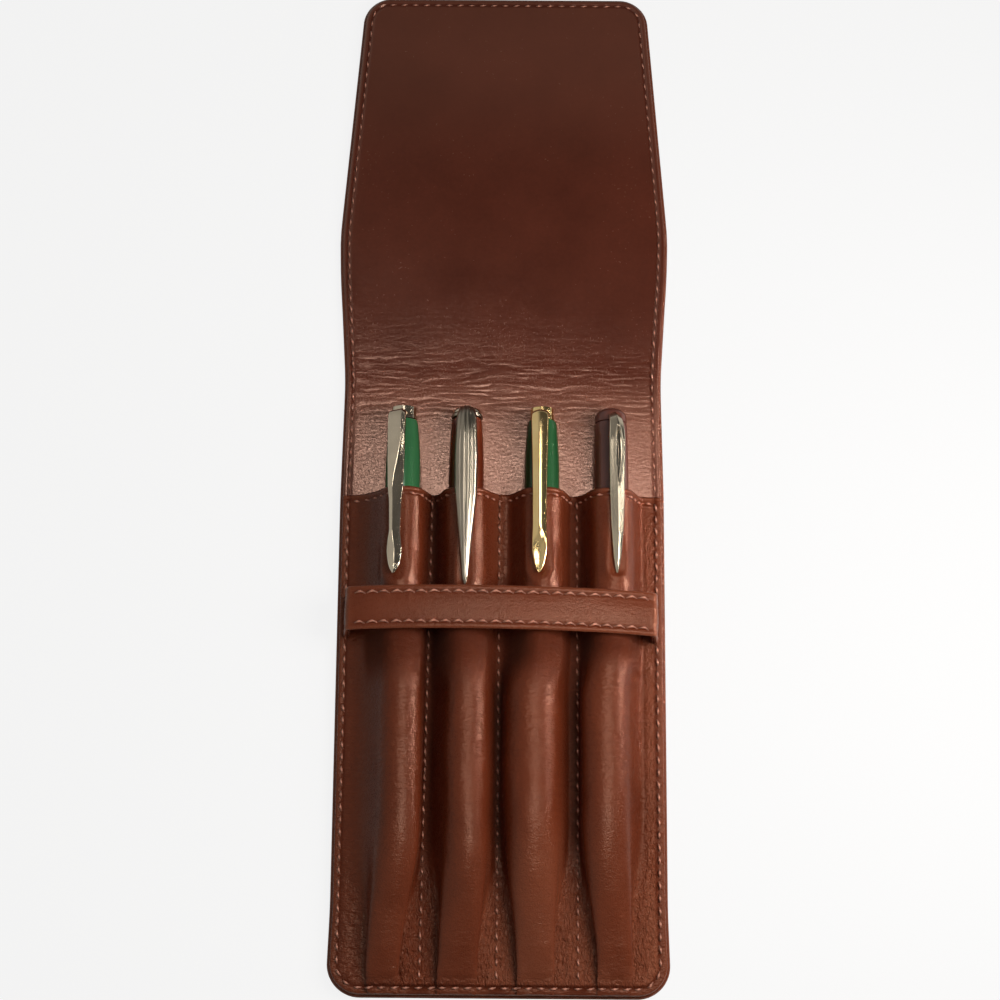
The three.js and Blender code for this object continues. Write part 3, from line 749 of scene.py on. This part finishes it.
def drawn_piece(name, points, edges, faces):
    """A new piece from points in metres, selected and active."""
    mesh = bpy.data.meshes.new(name)
    mesh.from_pydata(points, edges, faces)
    piece = bpy.data.objects.new(name, mesh)
    scene.collection.objects.link(piece)
    bpy.ops.object.select_all(action="DESELECT")
    bpy.context.view_layer.objects.active = piece
    piece.select_set(True)
    return piece


def one_stitch(rings=9, sides=6):
    """A stitch along x that rises to a knot: points, faces and nearness to the knot."""
    along = np.linspace(-1, 1, rings)
    knot = bell(along, 0.1, 0.45)
    height = 0.2 - 0.55 * np.abs(along - 0.1) ** 3
    radius = THREAD * (0.6 + 0.4 * knot)
    turn = np.linspace(0, 2 * np.pi, sides, endpoint=False)
    points = np.zeros((rings, sides, 3))
    points[..., 0] = (along * STITCH_LENGTH / 2)[:, None]
    points[..., 1] = radius[:, None] * np.cos(turn)
    points[..., 2] = height[:, None] + radius[:, None] * np.sin(turn)
    faces = []
    for ring in range(0, (rings - 1) * sides, sides):
        for side in range(sides):
            after = (side + 1) % sides
            faces.append((ring + side, ring + after, ring + sides + after, ring + sides + side))
    faces += [tuple(range(sides))[::-1], tuple(range((rings - 1) * sides, rings * sides))]
    return points.reshape(-1, 3), faces, np.repeat(knot, sides)


def at_places(places, length, values):
    """Points or directions of a path at places along its length."""
    return np.stack([np.interp(places, length, column) for column in values.T], axis=-1)


def sew(name, seams, slant, stretch=0.95, swell=0.95, wave=0.3):
    """Stitches along seams, each seam being points along it with the way up at each."""
    shape, faces, knots = one_stitch()
    shape = shape * (stretch, swell, swell)
    shape[:, 1] += wave * np.interp(shape[:, 0], (-1.7, -0.3, 0.4, 1.7), (-0.12, 0.2, 0.24, -0.6))
    points, tones = [], []
    for path, up in seams:
        steps = np.linalg.norm(np.diff(path, axis=0), axis=1)
        length = np.concatenate([[0], np.cumsum(steps)])
        count = max(1, round(length[-1] / STITCH_PITCH))
        places = (np.arange(count) + 0.5) * length[-1] / count
        middle = at_places(places, length, path)
        run = at_places(places + 1, length, path) - at_places(places - 1, length, path)
        run /= np.linalg.norm(run, axis=1, keepdims=True)
        side = np.cross(at_places(places, length, up), run)
        side /= np.linalg.norm(side, axis=1, keepdims=True)
        rise = np.cross(run, side)
        for number in range(count):
            wobble = 0.1 * math.sin(number * GOLDEN_TURN + length[-1])
            angle = math.radians(slant) + wobble
            lie = run[number] * math.cos(angle) + side[number] * math.sin(angle)
            square = side[number] * math.cos(angle) - run[number] * math.sin(angle)
            points.append(middle[number] + shape @ np.stack([lie, square, rise[number]]))
            # Tone: a little random change, darker towards both ends as painted shade, and palest at the knot,
            # partly as a painted highlight.
            tones.append(0.25 + 0.9 * wobble + 0.7 * knots)
    starts = range(0, len(points) * len(shape), len(shape))
    polygons = [tuple(start + corner for corner in face) for start in starts for face in faces]
    piece = drawn_piece(name, np.concatenate(points) * MM, [], polygons)
    store(piece.data, "tone", np.concatenate(tones))
    bpy.ops.object.shade_smooth()
    piece.data.materials.append(thread)
    return piece


def on_pocket(x, y):
    """Height of the pocket's upper face over a point."""
    near = np.hypot(pocket_upper[..., 0] - x, pocket_upper[..., 1] - y)
    close = near < max(0.7, near.min() + 0.05)
    return pocket_upper[..., 2][close].max()


def upright(path):
    """The way up for each point of a path, straight off the table."""
    return np.tile((0.0, 0.0, 1.0), (len(path), 1))


def edge_path(y_from, y_to, side, level):
    """The seam along one long edge of the case."""
    y = np.linspace(y_from, y_to, 60)
    return stack(side * (half_width(y) - SEAM_INSET), y, level)


divider_seams = []
for number in DIVIDERS:
    y = np.linspace(BOTTOM_SEAM + 1, POCKET_MOUTH - SEAM_STOP, 90)
    x = seam_place(number, y)
    z = np.array([on_pocket(a, b) for a, b in zip(x, y)])
    divider_seams.append((stack(x, y, np.minimum(z, POCKET_TOP + 2.4) + 0.02), upright(y)))
divider_stitches = sew("divider_stitches", divider_seams, 8, stretch=0.9, swell=0.85)
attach(divider_stitches, "case")

seam_corner = BODY_CORNER - SEAM_INSET
corner_turn = np.radians(np.linspace(0, 90, 14))[1:-1]
corner_x = SIDE_SEAM - seam_corner + seam_corner * np.cos(corner_turn)
corner_y = BODY_END + SEAM_INSET + seam_corner - seam_corner * np.sin(corner_turn)
run_y = np.linspace(POCKET_MOUTH - SEAM_STOP, BODY_END + BODY_CORNER, 70)
run_x = np.linspace(SIDE_SEAM - seam_corner, -SIDE_SEAM + seam_corner, 200)
side_x = 0 * run_y + SIDE_SEAM
bottom_y = 0 * run_x + BODY_END + SEAM_INSET
seam_x = np.concatenate([side_x, corner_x, run_x, -corner_x[::-1], -side_x])
seam_y = np.concatenate([run_y, corner_y, bottom_y, corner_y[::-1], run_y[::-1]])
seam_z = np.array([on_pocket(a, b) for a, b in zip(seam_x, seam_y)])
pocket_seam = stack(seam_x, seam_y, np.minimum(seam_z, POCKET_TOP + 1.3))
pocket_stitches = sew("pocket_stitches", [(pocket_seam, upright(seam_x))], 8)
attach(pocket_stitches, "case")

mouth_row = int(np.argmin(np.abs(pocket_rows - (POCKET_MOUTH - MOUTH_SEAM))))
mouth_columns = slice(9, pocket.shape[1] - 9)
mouth_path = pocket_upper[mouth_row, mouth_columns]
mouth_stitches = sew("mouth_stitches", [(mouth_path, pocket_normal[mouth_row, mouth_columns])], -10)
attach(mouth_stitches, "case")

strap_seams = []
strap_x = np.linspace(-40.6, 40.6, 80)
for side in (-1, 1):
    offset = side * (STRAP_WIDTH / 2 - STRAP_SEAM)
    y = STRAP_MIDDLE + strap_bow(strap_x) + strap_x * math.sin(STRAP_TILT) + offset * math.cos(STRAP_TILT)
    strap_z = STRAP_TOP + 0.02 + strap_rise(strap_x)
    strap_seams.append((stack(strap_x, y, strap_z), upright(strap_x)))
strap_stitches = sew("strap_stitches", strap_seams, 6, stretch=1.4, swell=0.95, wave=1)
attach(strap_stitches, "case")

body_sides = [edge_path(POCKET_MOUTH + 1, FOLD_MIDDLE, side, LINING_STITCH) for side in (1, -1)]
body_seams = [(path, upright(path)) for path in body_sides]
body_stitches = sew("body_stitches", body_seams, 8, stretch=0.9, swell=0.9)
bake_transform(body_stitches)


def flap_seam(level, way):
    """The seam round the flap, from fold to fold."""
    tip_corner = FLAP_CORNER - SEAM_INSET
    side = edge_path(FOLD_MIDDLE, FLAP_END - FLAP_CORNER, 1, level)
    centre = side[-1, 0] - tip_corner
    turn = np.radians(np.linspace(0, 90, 12))
    bend_x = centre + tip_corner * np.cos(turn)
    bend = stack(bend_x, FLAP_END - FLAP_CORNER + tip_corner * np.sin(turn), level)
    half = np.concatenate([side, bend[1:]])
    other = half[::-1] * (-1, 1, 1)
    top = stack(np.linspace(centre, -centre, 60)[1:-1], FLAP_END - SEAM_INSET, level)
    path = np.concatenate([half, top, other])
    return path, way * upright(path)


flap_stitches = sew("flap_stitches", [flap_seam(LINING_STITCH, 1)], 8, stretch=0.9, swell=0.7)
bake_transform(flap_stitches)
back_paths = [edge_path(BODY_END + BODY_CORNER, FOLD_MIDDLE, side, COVER_GROOVE) for side in (1, -1)]
back_paths.append(stack(np.linspace(-38, 38, 80), BODY_END + SEAM_INSET, COVER_GROOVE))
back_stitches = sew("back_stitches", [(path, -upright(path)) for path in back_paths], 10)
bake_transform(back_stitches)
front_stitches = sew("front_stitches", [flap_seam(COVER_GROOVE, -1)], 10)
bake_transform(front_stitches)


# Four capped pens of lacquer and plated metal, one in each channel. Every pen is a barrel with its
# grip and writing tip, and a pull-off cap with a lip band, a spring clip and a button on top.
PEN_TOP = 16.2
CAP_LIP = -62
CAP_RADIUS = 4.9
BARREL_TOP = CAP_LIP - 0.3
PEN_TAIL = -135
GRIP_LOW = BARREL_TOP + 0.15
TIP_LOW = BARREL_TOP + 34.3
FINIALS = (2.8, 2.2, 2.8, 3.2)
LATHE_STEPS = 56
LATHE_SHARP = math.radians(32)
SWEPT_LIE = math.radians(2)


def turned(name, number, profile, finish):
    """A piece turned about a pen's axis, from radii and distances below its top."""
    material, slot = finish
    centre = Vector((PEN_MIDDLES[number], PEN_TOP, PEN_AXIS))
    points = [(centre + Vector((radius, along, 0))) * MM for radius, along in profile]
    piece = drawn_piece(name, points, [(n, n + 1) for n in range(len(points) - 1)], [])
    bpy.ops.object.mode_set(mode="EDIT")
    bpy.ops.mesh.select_all(action="SELECT")
    bpy.ops.mesh.spin(steps=LATHE_STEPS, angle=2 * math.pi, center=centre * MM, axis=(0, 1, 0))
    bpy.ops.mesh.select_all(action="SELECT")
    bpy.ops.mesh.remove_doubles(threshold=0.004 * MM)
    bpy.ops.mesh.normals_make_consistent(inside=False)
    bpy.ops.object.mode_set(mode="OBJECT")
    bpy.ops.object.shade_smooth_by_angle(angle=LATHE_SHARP)
    piece.data.materials.append(material)
    return piece


def lacquer(name, deep, body, streak):
    """Clear-coated pen body, with faint streaks along it that show in its depth."""
    material, tree, shader = new_material(name)
    place = tree.place()
    streaks = tree.noise(tree.stretched(place, (1, 0.12, 1)), 420, 4, Roughness=0.6)
    dust = tree.noise(place, 300, 4)
    colour = tree.mix((0.5 + streak * (streaks - 0.5)).clamped(), deep, body)
    feed(shader, Base_Color=colour, Roughness=(0.16 + 0.12 * (dust - 0.5)).clamped())
    feed(shader, Coat_Weight=0.25, Coat_Roughness=0.05, Specular_IOR_Level=0.35)
    return material


def plate(name, pale, dark, polish=0.16):
    """Polished plating with faint handling marks along the piece."""
    material, tree, shader = new_material(name)
    place = tree.place()
    marks = tree.noise(tree.stretched(place, (1, 0.08, 1)), 1500, 3)
    smears = tree.noise(place, 160, 4)
    colour = tree.mix((0.4 + 1.2 * (smears - 0.5)).clamped(), pale, dark)
    rough = (polish + 0.1 * (smears - 0.5) + 0.08 * (marks - 0.5)).clamped()
    feed(shader, Base_Color=colour, Roughness=rough, Metallic=1.0, Normal=tree.bump(0.03, 0.05, marks))
    return material


# Each finish is a material with the slot of the record that it belongs to.
green = lacquer("green_lacquer", (0.022, 0.11, 0.042, 1), (0.055, 0.21, 0.08, 1), 0.9), "pen_green"
amber = lacquer("amber_lacquer", (0.06, 0.008, 0.004, 1), (0.25, 0.045, 0.015, 1), 1.6), "pen_amber"
olive = lacquer("olive_lacquer", (0.012, 0.06, 0.02, 1), (0.04, 0.17, 0.06, 1), 1.2), "pen_olive"
plum = lacquer("aubergine_lacquer", (0.09, 0.026, 0.018, 1), (0.22, 0.065, 0.045, 1), 0.8), "pen_aubergine"
nickel = plate("nickel_plate", (0.66, 0.58, 0.44, 1), (0.48, 0.42, 0.31, 1)), "chrome_trim"
# This second nickel plating is a rougher copy of the first, made darker as painted shade; both go on the
# chrome trim slot.
shaded_satin = plate("satin_nickel_painted_darker", (0.36, 0.32, 0.25, 1), (0.26, 0.23, 0.18, 1), polish=0.3), "chrome_trim"
gold = plate("gold_plate", (0.9, 0.7, 0.35, 1), (0.76, 0.52, 0.19, 1)), "gold_trim"
black = lacquer("black_grip", (0.008, 0.008, 0.009, 1), (0.025, 0.025, 0.027, 1), 0.8), "grip_plastic"
steel = plate("steel_tip", (0.66, 0.67, 0.68, 1), (0.5, 0.5, 0.52, 1)), "steel_tip"


def clip_path(drop, low, dished):
    """The clip's arm from under the button, out over the cap and down outside the pocket."""
    if dished:
        root = ((0.2, 3.0), (0.25, 5.4), (0.6, 6.4), (1.5, 6.8), (3.2, 6.95), (6, 7.0))
        end = ((9, 7.1), (6, 6.95), (3.4, 7.0), (1.5, 7.25), (0, 7.7))
    else:
        root = ((-0.5, 3.0), (0.2, 4.4), (1.3, 5.6), (2.9, 6.6), (4.8, 7.2), (7.5, 7.5))
        end = ((12, 6.95), (4, 6.75), (1, 6.55), (0, 6.4))
    along = np.array([-drop - back for back, _ in root] + [low + ahead for ahead, _ in end])
    out = np.array([level for _, level in root + end])
    steps = np.concatenate([[0], np.cumsum(np.hypot(np.diff(along), np.diff(out)))])
    root_end = steps[len(root) - 1]
    places = np.concatenate([np.linspace(0, root_end, 30)[:-1], np.linspace(root_end, steps[-1], 84)])
    fine = np.stack([np.interp(places, steps, along), np.interp(places, steps, out)], axis=-1)
    soften(fine, 8)
    return fine[:, 0], fine[:, 1]


def spooned(across, share):
    """A rounded strip whose end is dished like a spoon."""
    dish = smooth(share, 0.72, 0.84)
    return 0.8 * (1 - across**2) * (1 - dish) + (0.32 * across**2 - 0.1 + 0.25 * (1 - across**4)) * dish


def ridged(across, ridge):
    """Two flat slopes that meet in a slightly rounded ridge."""
    return 1 - np.sqrt((across - ridge) ** 2 + 0.003) / (1 + ridge * np.sign(ridge - across))


def swept(across, share):
    """A strip with a ridge that sweeps from its right edge to its left, and a spoon-shaped end."""
    return 0.9 * ridged(across, 0.5 - 0.95 * smooth(share, 0.16, 0.5) + 0.4 * smooth(share, 0.74, 0.86))


def fluted(across, share):
    """A rounded leaf with four flutes along it."""
    return 1.05 * (1 - across**2) + 0.17 * np.abs(np.sin(2 * np.pi * across)) * smooth(1 - share, 0.02, 0.2)


def hollowed(across, share):
    """A ridged strip with a drop-shaped hollow cut into its upper half."""
    ridge = 0.15
    half = 0.46 * np.sin(np.pi * np.clip((share - 0.08) / 0.42, 0, 1) ** 0.8)
    away = np.abs(across - ridge) / np.maximum(half, 0.03)
    hollow = 0.42 * np.clip(1 - away**2, 0, 1)
    bead = 0.13 * bell(away, 1, 0.24)
    return 0.85 * ridged(across, ridge) + (bead - hollow) * smooth(half, 0.04, 0.2)


def clip_arm(name, number, widths, relief):
    """The clip's arm, with half widths over shares of its length and a relief."""
    low = CLIP_ENDS[number] - PEN_TOP
    along, out = clip_path(FINIALS[number], low, relief in (spooned, swept))
    share = (along - along[0]) / (low - along[0])
    half = np.interp(share, *widths)
    soften(half, 3)
    across = np.sin(np.linspace(-np.pi / 2, np.pi / 2, 81))
    x = half[:, None] * across
    rim = np.minimum(np.sqrt(np.clip(1 - across**2, 0, 1)) * 2.2, 1) ** 0.8
    step_along, step_out = np.gradient(along), np.gradient(out)
    size = np.hypot(step_along, step_out)
    square_along, square_out = (step_out / size)[:, None], (-step_along / size)[:, None]
    narrow = np.minimum(half / 1.6, 1)[:, None]
    height = (relief(across[None, :], share[:, None]) + 0.34 * rim) * narrow
    depth = -0.3 * rim + 0 * share[:, None]
    turn = math.radians(PEN_TURNS[number])
    lie = SWEPT_LIE if relief is swept else turn
    faces = []
    for level in (depth, height):
        y = along[:, None] + square_along * level
        turned_x = x * math.cos(lie) + square_out * level * math.sin(lie) + out[:, None] * math.sin(turn)
        turned_z = square_out * level * math.cos(lie) - x * math.sin(lie) + out[:, None] * math.cos(turn)
        points = np.stack([turned_x + PEN_MIDDLES[number], y + PEN_TOP, turned_z + PEN_AXIS], axis=-1)
        faces.append(points[::-1])
    return faced_piece(name, *faces, sharp=40)


def shifted(start, *lines):
    """Part of a lathe profile, with its distances counted from a start."""
    return [(radius, start + along) for radius, along in lines]


# Each pen: its finishes, the button's round height and radius, the cap's top radius and its clip.
PENS = (
    ("green_pen", green, nickel, nickel, 0.45, 3.55, 4.05,
     ((0, 0.05, 0.3, 0.48, 0.56, 0.74, 0.8, 0.87, 0.94, 0.98, 1),
      (2.35, 2.5, 2.4, 2.15, 1.75, 1.55, 1.9, 2.15, 1.7, 1.0, 0.25)), swept),
    ("amber_pen", amber, shaded_satin, nickel, 1.9, 4.25, 4.3,
     ((0, 0.05, 0.28, 0.5, 0.65, 0.79, 0.9, 0.97, 1),
      (2.3, 2.75, 3.2, 3.05, 2.35, 1.65, 1.1, 0.75, 0.25)), fluted),
    ("olive_pen", olive, gold, gold, 0.45, 3.3, 4.15,
     ((0, 0.05, 0.3, 0.5, 0.7, 0.78, 0.88, 0.95, 0.985, 1),
      (2.35, 2.45, 2.2, 2.05, 2.0, 2.1, 2.05, 1.4, 0.8, 0.25)), spooned),
    ("aubergine_pen", plum, nickel, plum, 2.9, 4.5, 4.6,
     ((0, 0.05, 0.16, 0.45, 0.7, 0.88, 0.97, 1),
      (1.6, 1.95, 2.3, 2.15, 1.85, 1.2, 0.6, 0.2)), hollowed),
)
for number, (name, body, trim, button, crown, knob, top, widths, relief) in enumerate(PENS):
    pen, lid = f"pen_{number + 1}", f"cap_{number + 1}"
    drop = FINIALS[number]
    cap_top = -drop - 1.3
    barrel_lines = shifted(
        PEN_TAIL, (0, 0), (1.5, 0), (2.1, 0.25), (2.5, 0.9), (3.3, 5), (4.0, 12), (4.4, 20), (4.5, 28),
    )
    barrel_lines += shifted(BARREL_TOP, (4.5, -0.25), (4.35, 0), (0, 0))
    barrel = turned(f"{name}_barrel", number, barrel_lines, body)
    grip_lines = shifted(GRIP_LOW, (0, 0), (3.45, 0), (3.6, 0.2), (3.6, 9))
    for groove in range(8):
        radii = np.array((3.55, 3.35, 3.35, 3.52)) - 0.11 * groove
        grip_lines += shifted(GRIP_LOW + 10 + 2 * groove, *zip(radii, (0, 0.3, 0.7, 1)))
    grip_lines += shifted(GRIP_LOW, (2.55, 33), (2.4, 34), (0, 34))
    grip = turned(f"{name}_grip", number, grip_lines, black)
    tip = turned(f"{name}_tip", number, shifted(
        TIP_LOW, (0, 0), (2.2, 0), (2.4, 0.25), (1.9, 2.2), (1.1, 4.6), (0.75, 5.8), (0.55, 6.4), (0.45, 6.9),
        (0.2, 7), (0, 7),
    ), steel)
    gain = CAP_RADIUS - top
    cap_lines = shifted(cap_top, (0, -0.8), (3.2, -0.8), (4.1, -5.8))
    cap_lines += shifted(CAP_LIP, (4.1, 0), (4.5, 0), (4.5, 3.2), (4.85, 3.2), (CAP_RADIUS, 3.4))
    cap_lines += shifted(
        cap_top, (CAP_RADIUS, -15), (4.86, -12), (top + 0.7 * gain, -8), (top + 0.35 * gain, -4),
        (top + 0.1 * gain, -1.6), (top - 0.05, -0.6), (top - 0.2, -0.15), (top - 0.4, 0), (0, 0),
    )
    cap = turned(f"{name}_cap", number, cap_lines, body)
    band = turned(f"{name}_band", number, shifted(
        CAP_LIP, (4.65, 0), (4.9, 0), (5.0, 0.12), (5.0, 0.9), (4.9, 1.05), (5.0, 1.2), (5.0, 2.9),
        (4.9, 3.05), (4.65, 3.05), (4.65, 0),
    ), trim)
    skirt = -drop - 1.2 if button is body else -drop
    button_lines = shifted(-drop, (0, 0), (knob - 0.45, 0))
    button_lines += shifted(skirt, (knob - 0.45, 0), (knob - 0.1, 0), (knob, 0.1))
    for angle in np.radians(np.linspace(0, 90, 9))[:-1]:
        button_lines.append((knob * math.cos(angle), -crown + crown * math.sin(angle)))
    finial = turned(f"{name}_button", number, [*button_lines, (0, 0)], button)
    ring = knob - 0.55 if button is body else knob + 0.15
    collar = turned(f"{name}_clip", number, shifted(
        -drop, (0, -1.15), (ring - 0.1, -1.15), (ring, -1.0), (ring, -0.3), (ring - 0.1, -0.15), (0, -0.15),
    ), trim)
    arm = clip_arm(f"{name}_arm", number, widths, relief)
    arm.data.materials.append(trim[0])
    bpy.ops.object.select_all(action="DESELECT")
    arm.select_set(True)
    collar.select_set(True)
    bpy.context.view_layer.objects.active = collar
    bpy.ops.object.join()
    for piece, part, carrier in (
        (barrel, "barrel", pen), (grip, "grip", pen), (tip, "tip", pen), (cap, "cap", lid),
        (band, "band", lid), (finial, "finial", lid), (collar, "clip", lid),
    ):
        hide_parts(f"{pen}_{part}")
        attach(piece, carrier)


# The floor: a plain pale sheet that the open case lies on. It reads as white behind the case and
# keeps a faint shadow under it.
FLOOR_SIZE = 8
FLOOR_DROP = 0.2
FLOOR_GLOW = 0.86
FLOOR_MIRRORED = 0.2


def ray_is(tree, kind):
    """1 for rays of one kind, such as those from the camera, and 0 for the others."""
    return tree.node("ShaderNodeLightPath", output=f"Is {kind} Ray")


bpy.ops.mesh.primitive_plane_add(size=FLOOR_SIZE, location=(0, 0, -FLOOR_DROP * MM))
floor = bpy.context.object
floor.name = "floor"
bpy.ops.object.mode_set(mode="EDIT")
bpy.ops.mesh.subdivide(number_cuts=3)
bpy.ops.object.mode_set(mode="OBJECT")
paper, paper_tree, paper_shader = new_material("floor_paper")
feed(paper_shader, Base_Color=(0.8, 0.8, 0.8, 1), Roughness=0.9, Specular_IOR_Level=0.0)
mirrored = ray_is(paper_tree, "Glossy") + ray_is(paper_tree, "Transmission")
seen = (ray_is(paper_tree, "Camera") + FLOOR_MIRRORED * mirrored).clamped()
glow = paper_tree.node("ShaderNodeEmission", None, {"Color": (1, 1, 1, 1), "Strength": 1.0})
lit = Shade(paper_tree.tree, paper_shader.outputs[0])
shown = paper_tree.node("ShaderNodeMixShader", None, {0: seen * FLOOR_GLOW, 1: lit, 2: glow})
paper_output = paper.node_tree.nodes["Material Output"]
paper.node_tree.links.new(shown.socket, paper_output.inputs["Surface"])
floor.data.materials.append(paper)


# Studio light: a low soft box at the right lights the case, and three others only lay sheens: on the
# channels' crests, on the channels' upper flanks by the pocket's mouth and on the lining by the pens. The
# surroundings are white.
world = bpy.data.worlds.new("studio")
scene.world = world
world.use_nodes = True
sky = Shade(world.node_tree)
direction = sky.node("ShaderNodeTexCoord", output="Generated")
height = sky.node("ShaderNodeSeparateXYZ", None, {0: direction}, output="Z")
sideways = sky.node("ShaderNodeSeparateXYZ", None, {0: direction}, output="X")
horizon = (1.1 - 4 * height).clamped()
pale_side = (-0.1 - 2.4 * sideways).clamped()
mirror_ray = ray_is(sky, "Glossy") + ray_is(sky, "Transmission")
share = (ray_is(sky, "Camera") + 0.15 * mirror_ray * horizon).clamped()
strength = 0.13 + mirror_ray * (0.45 * pale_side - 0.06)
dim = sky.node("ShaderNodeBackground", None, {"Color": (1, 0.96, 0.92, 1), "Strength": strength})
white = sky.node("ShaderNodeBackground", None, {"Color": (1, 1, 1, 1), "Strength": 1.0})
surround = sky.node("ShaderNodeMixShader", None, {0: share, 1: dim, 2: white})
world.node_tree.links.new(surround.socket, world.node_tree.nodes["World Output"].inputs["Surface"])


def soft_box(name, place, aim, size, power, colour, sheen=True, spread=180):
    """A lamp, in metres and watts, that either lays a sheen or lights what it faces."""
    bpy.ops.object.light_add(type="AREA", location=place)
    lamp = bpy.context.object
    lamp.name = name
    lamp.data.shape = "RECTANGLE"
    lamp.data.size, lamp.data.size_y = size
    lamp.data.energy = power
    lamp.data.color = colour
    lamp.data.spread = math.radians(spread)
    lamp.visible_camera = False
    lamp.visible_glossy = sheen
    lamp.visible_diffuse = not sheen
    lamp.rotation_mode = "QUATERNION"
    lamp.rotation_quaternion = (Vector(aim) - Vector(place)).to_track_quat("-Z", "Y")


WARM = (1, 0.93, 0.88)
soft_box("key_box", (0.16, -0.05, 0.2), (0, -0.02, 0), (0.12, 0.2), 0.58, (1, 0.96, 0.9), sheen=False)
soft_box("crest_box", (0.08, -0.045, 0.45), (0.015, -0.08, 0), (0.05, 0.2), 0.7, (1, 0.95, 0.9))
soft_box("mouth_box", (0.34, 0.01, 0.14), (-0.035, -0.01, 0.01), (0.13, 0.13), 0.06, WARM, spread=15)
soft_box("sheen_box", (0.05, 0.09, 0.45), (0.02, -0.02, 0), (0.3, 0.04), 0.016, WARM, spread=28)
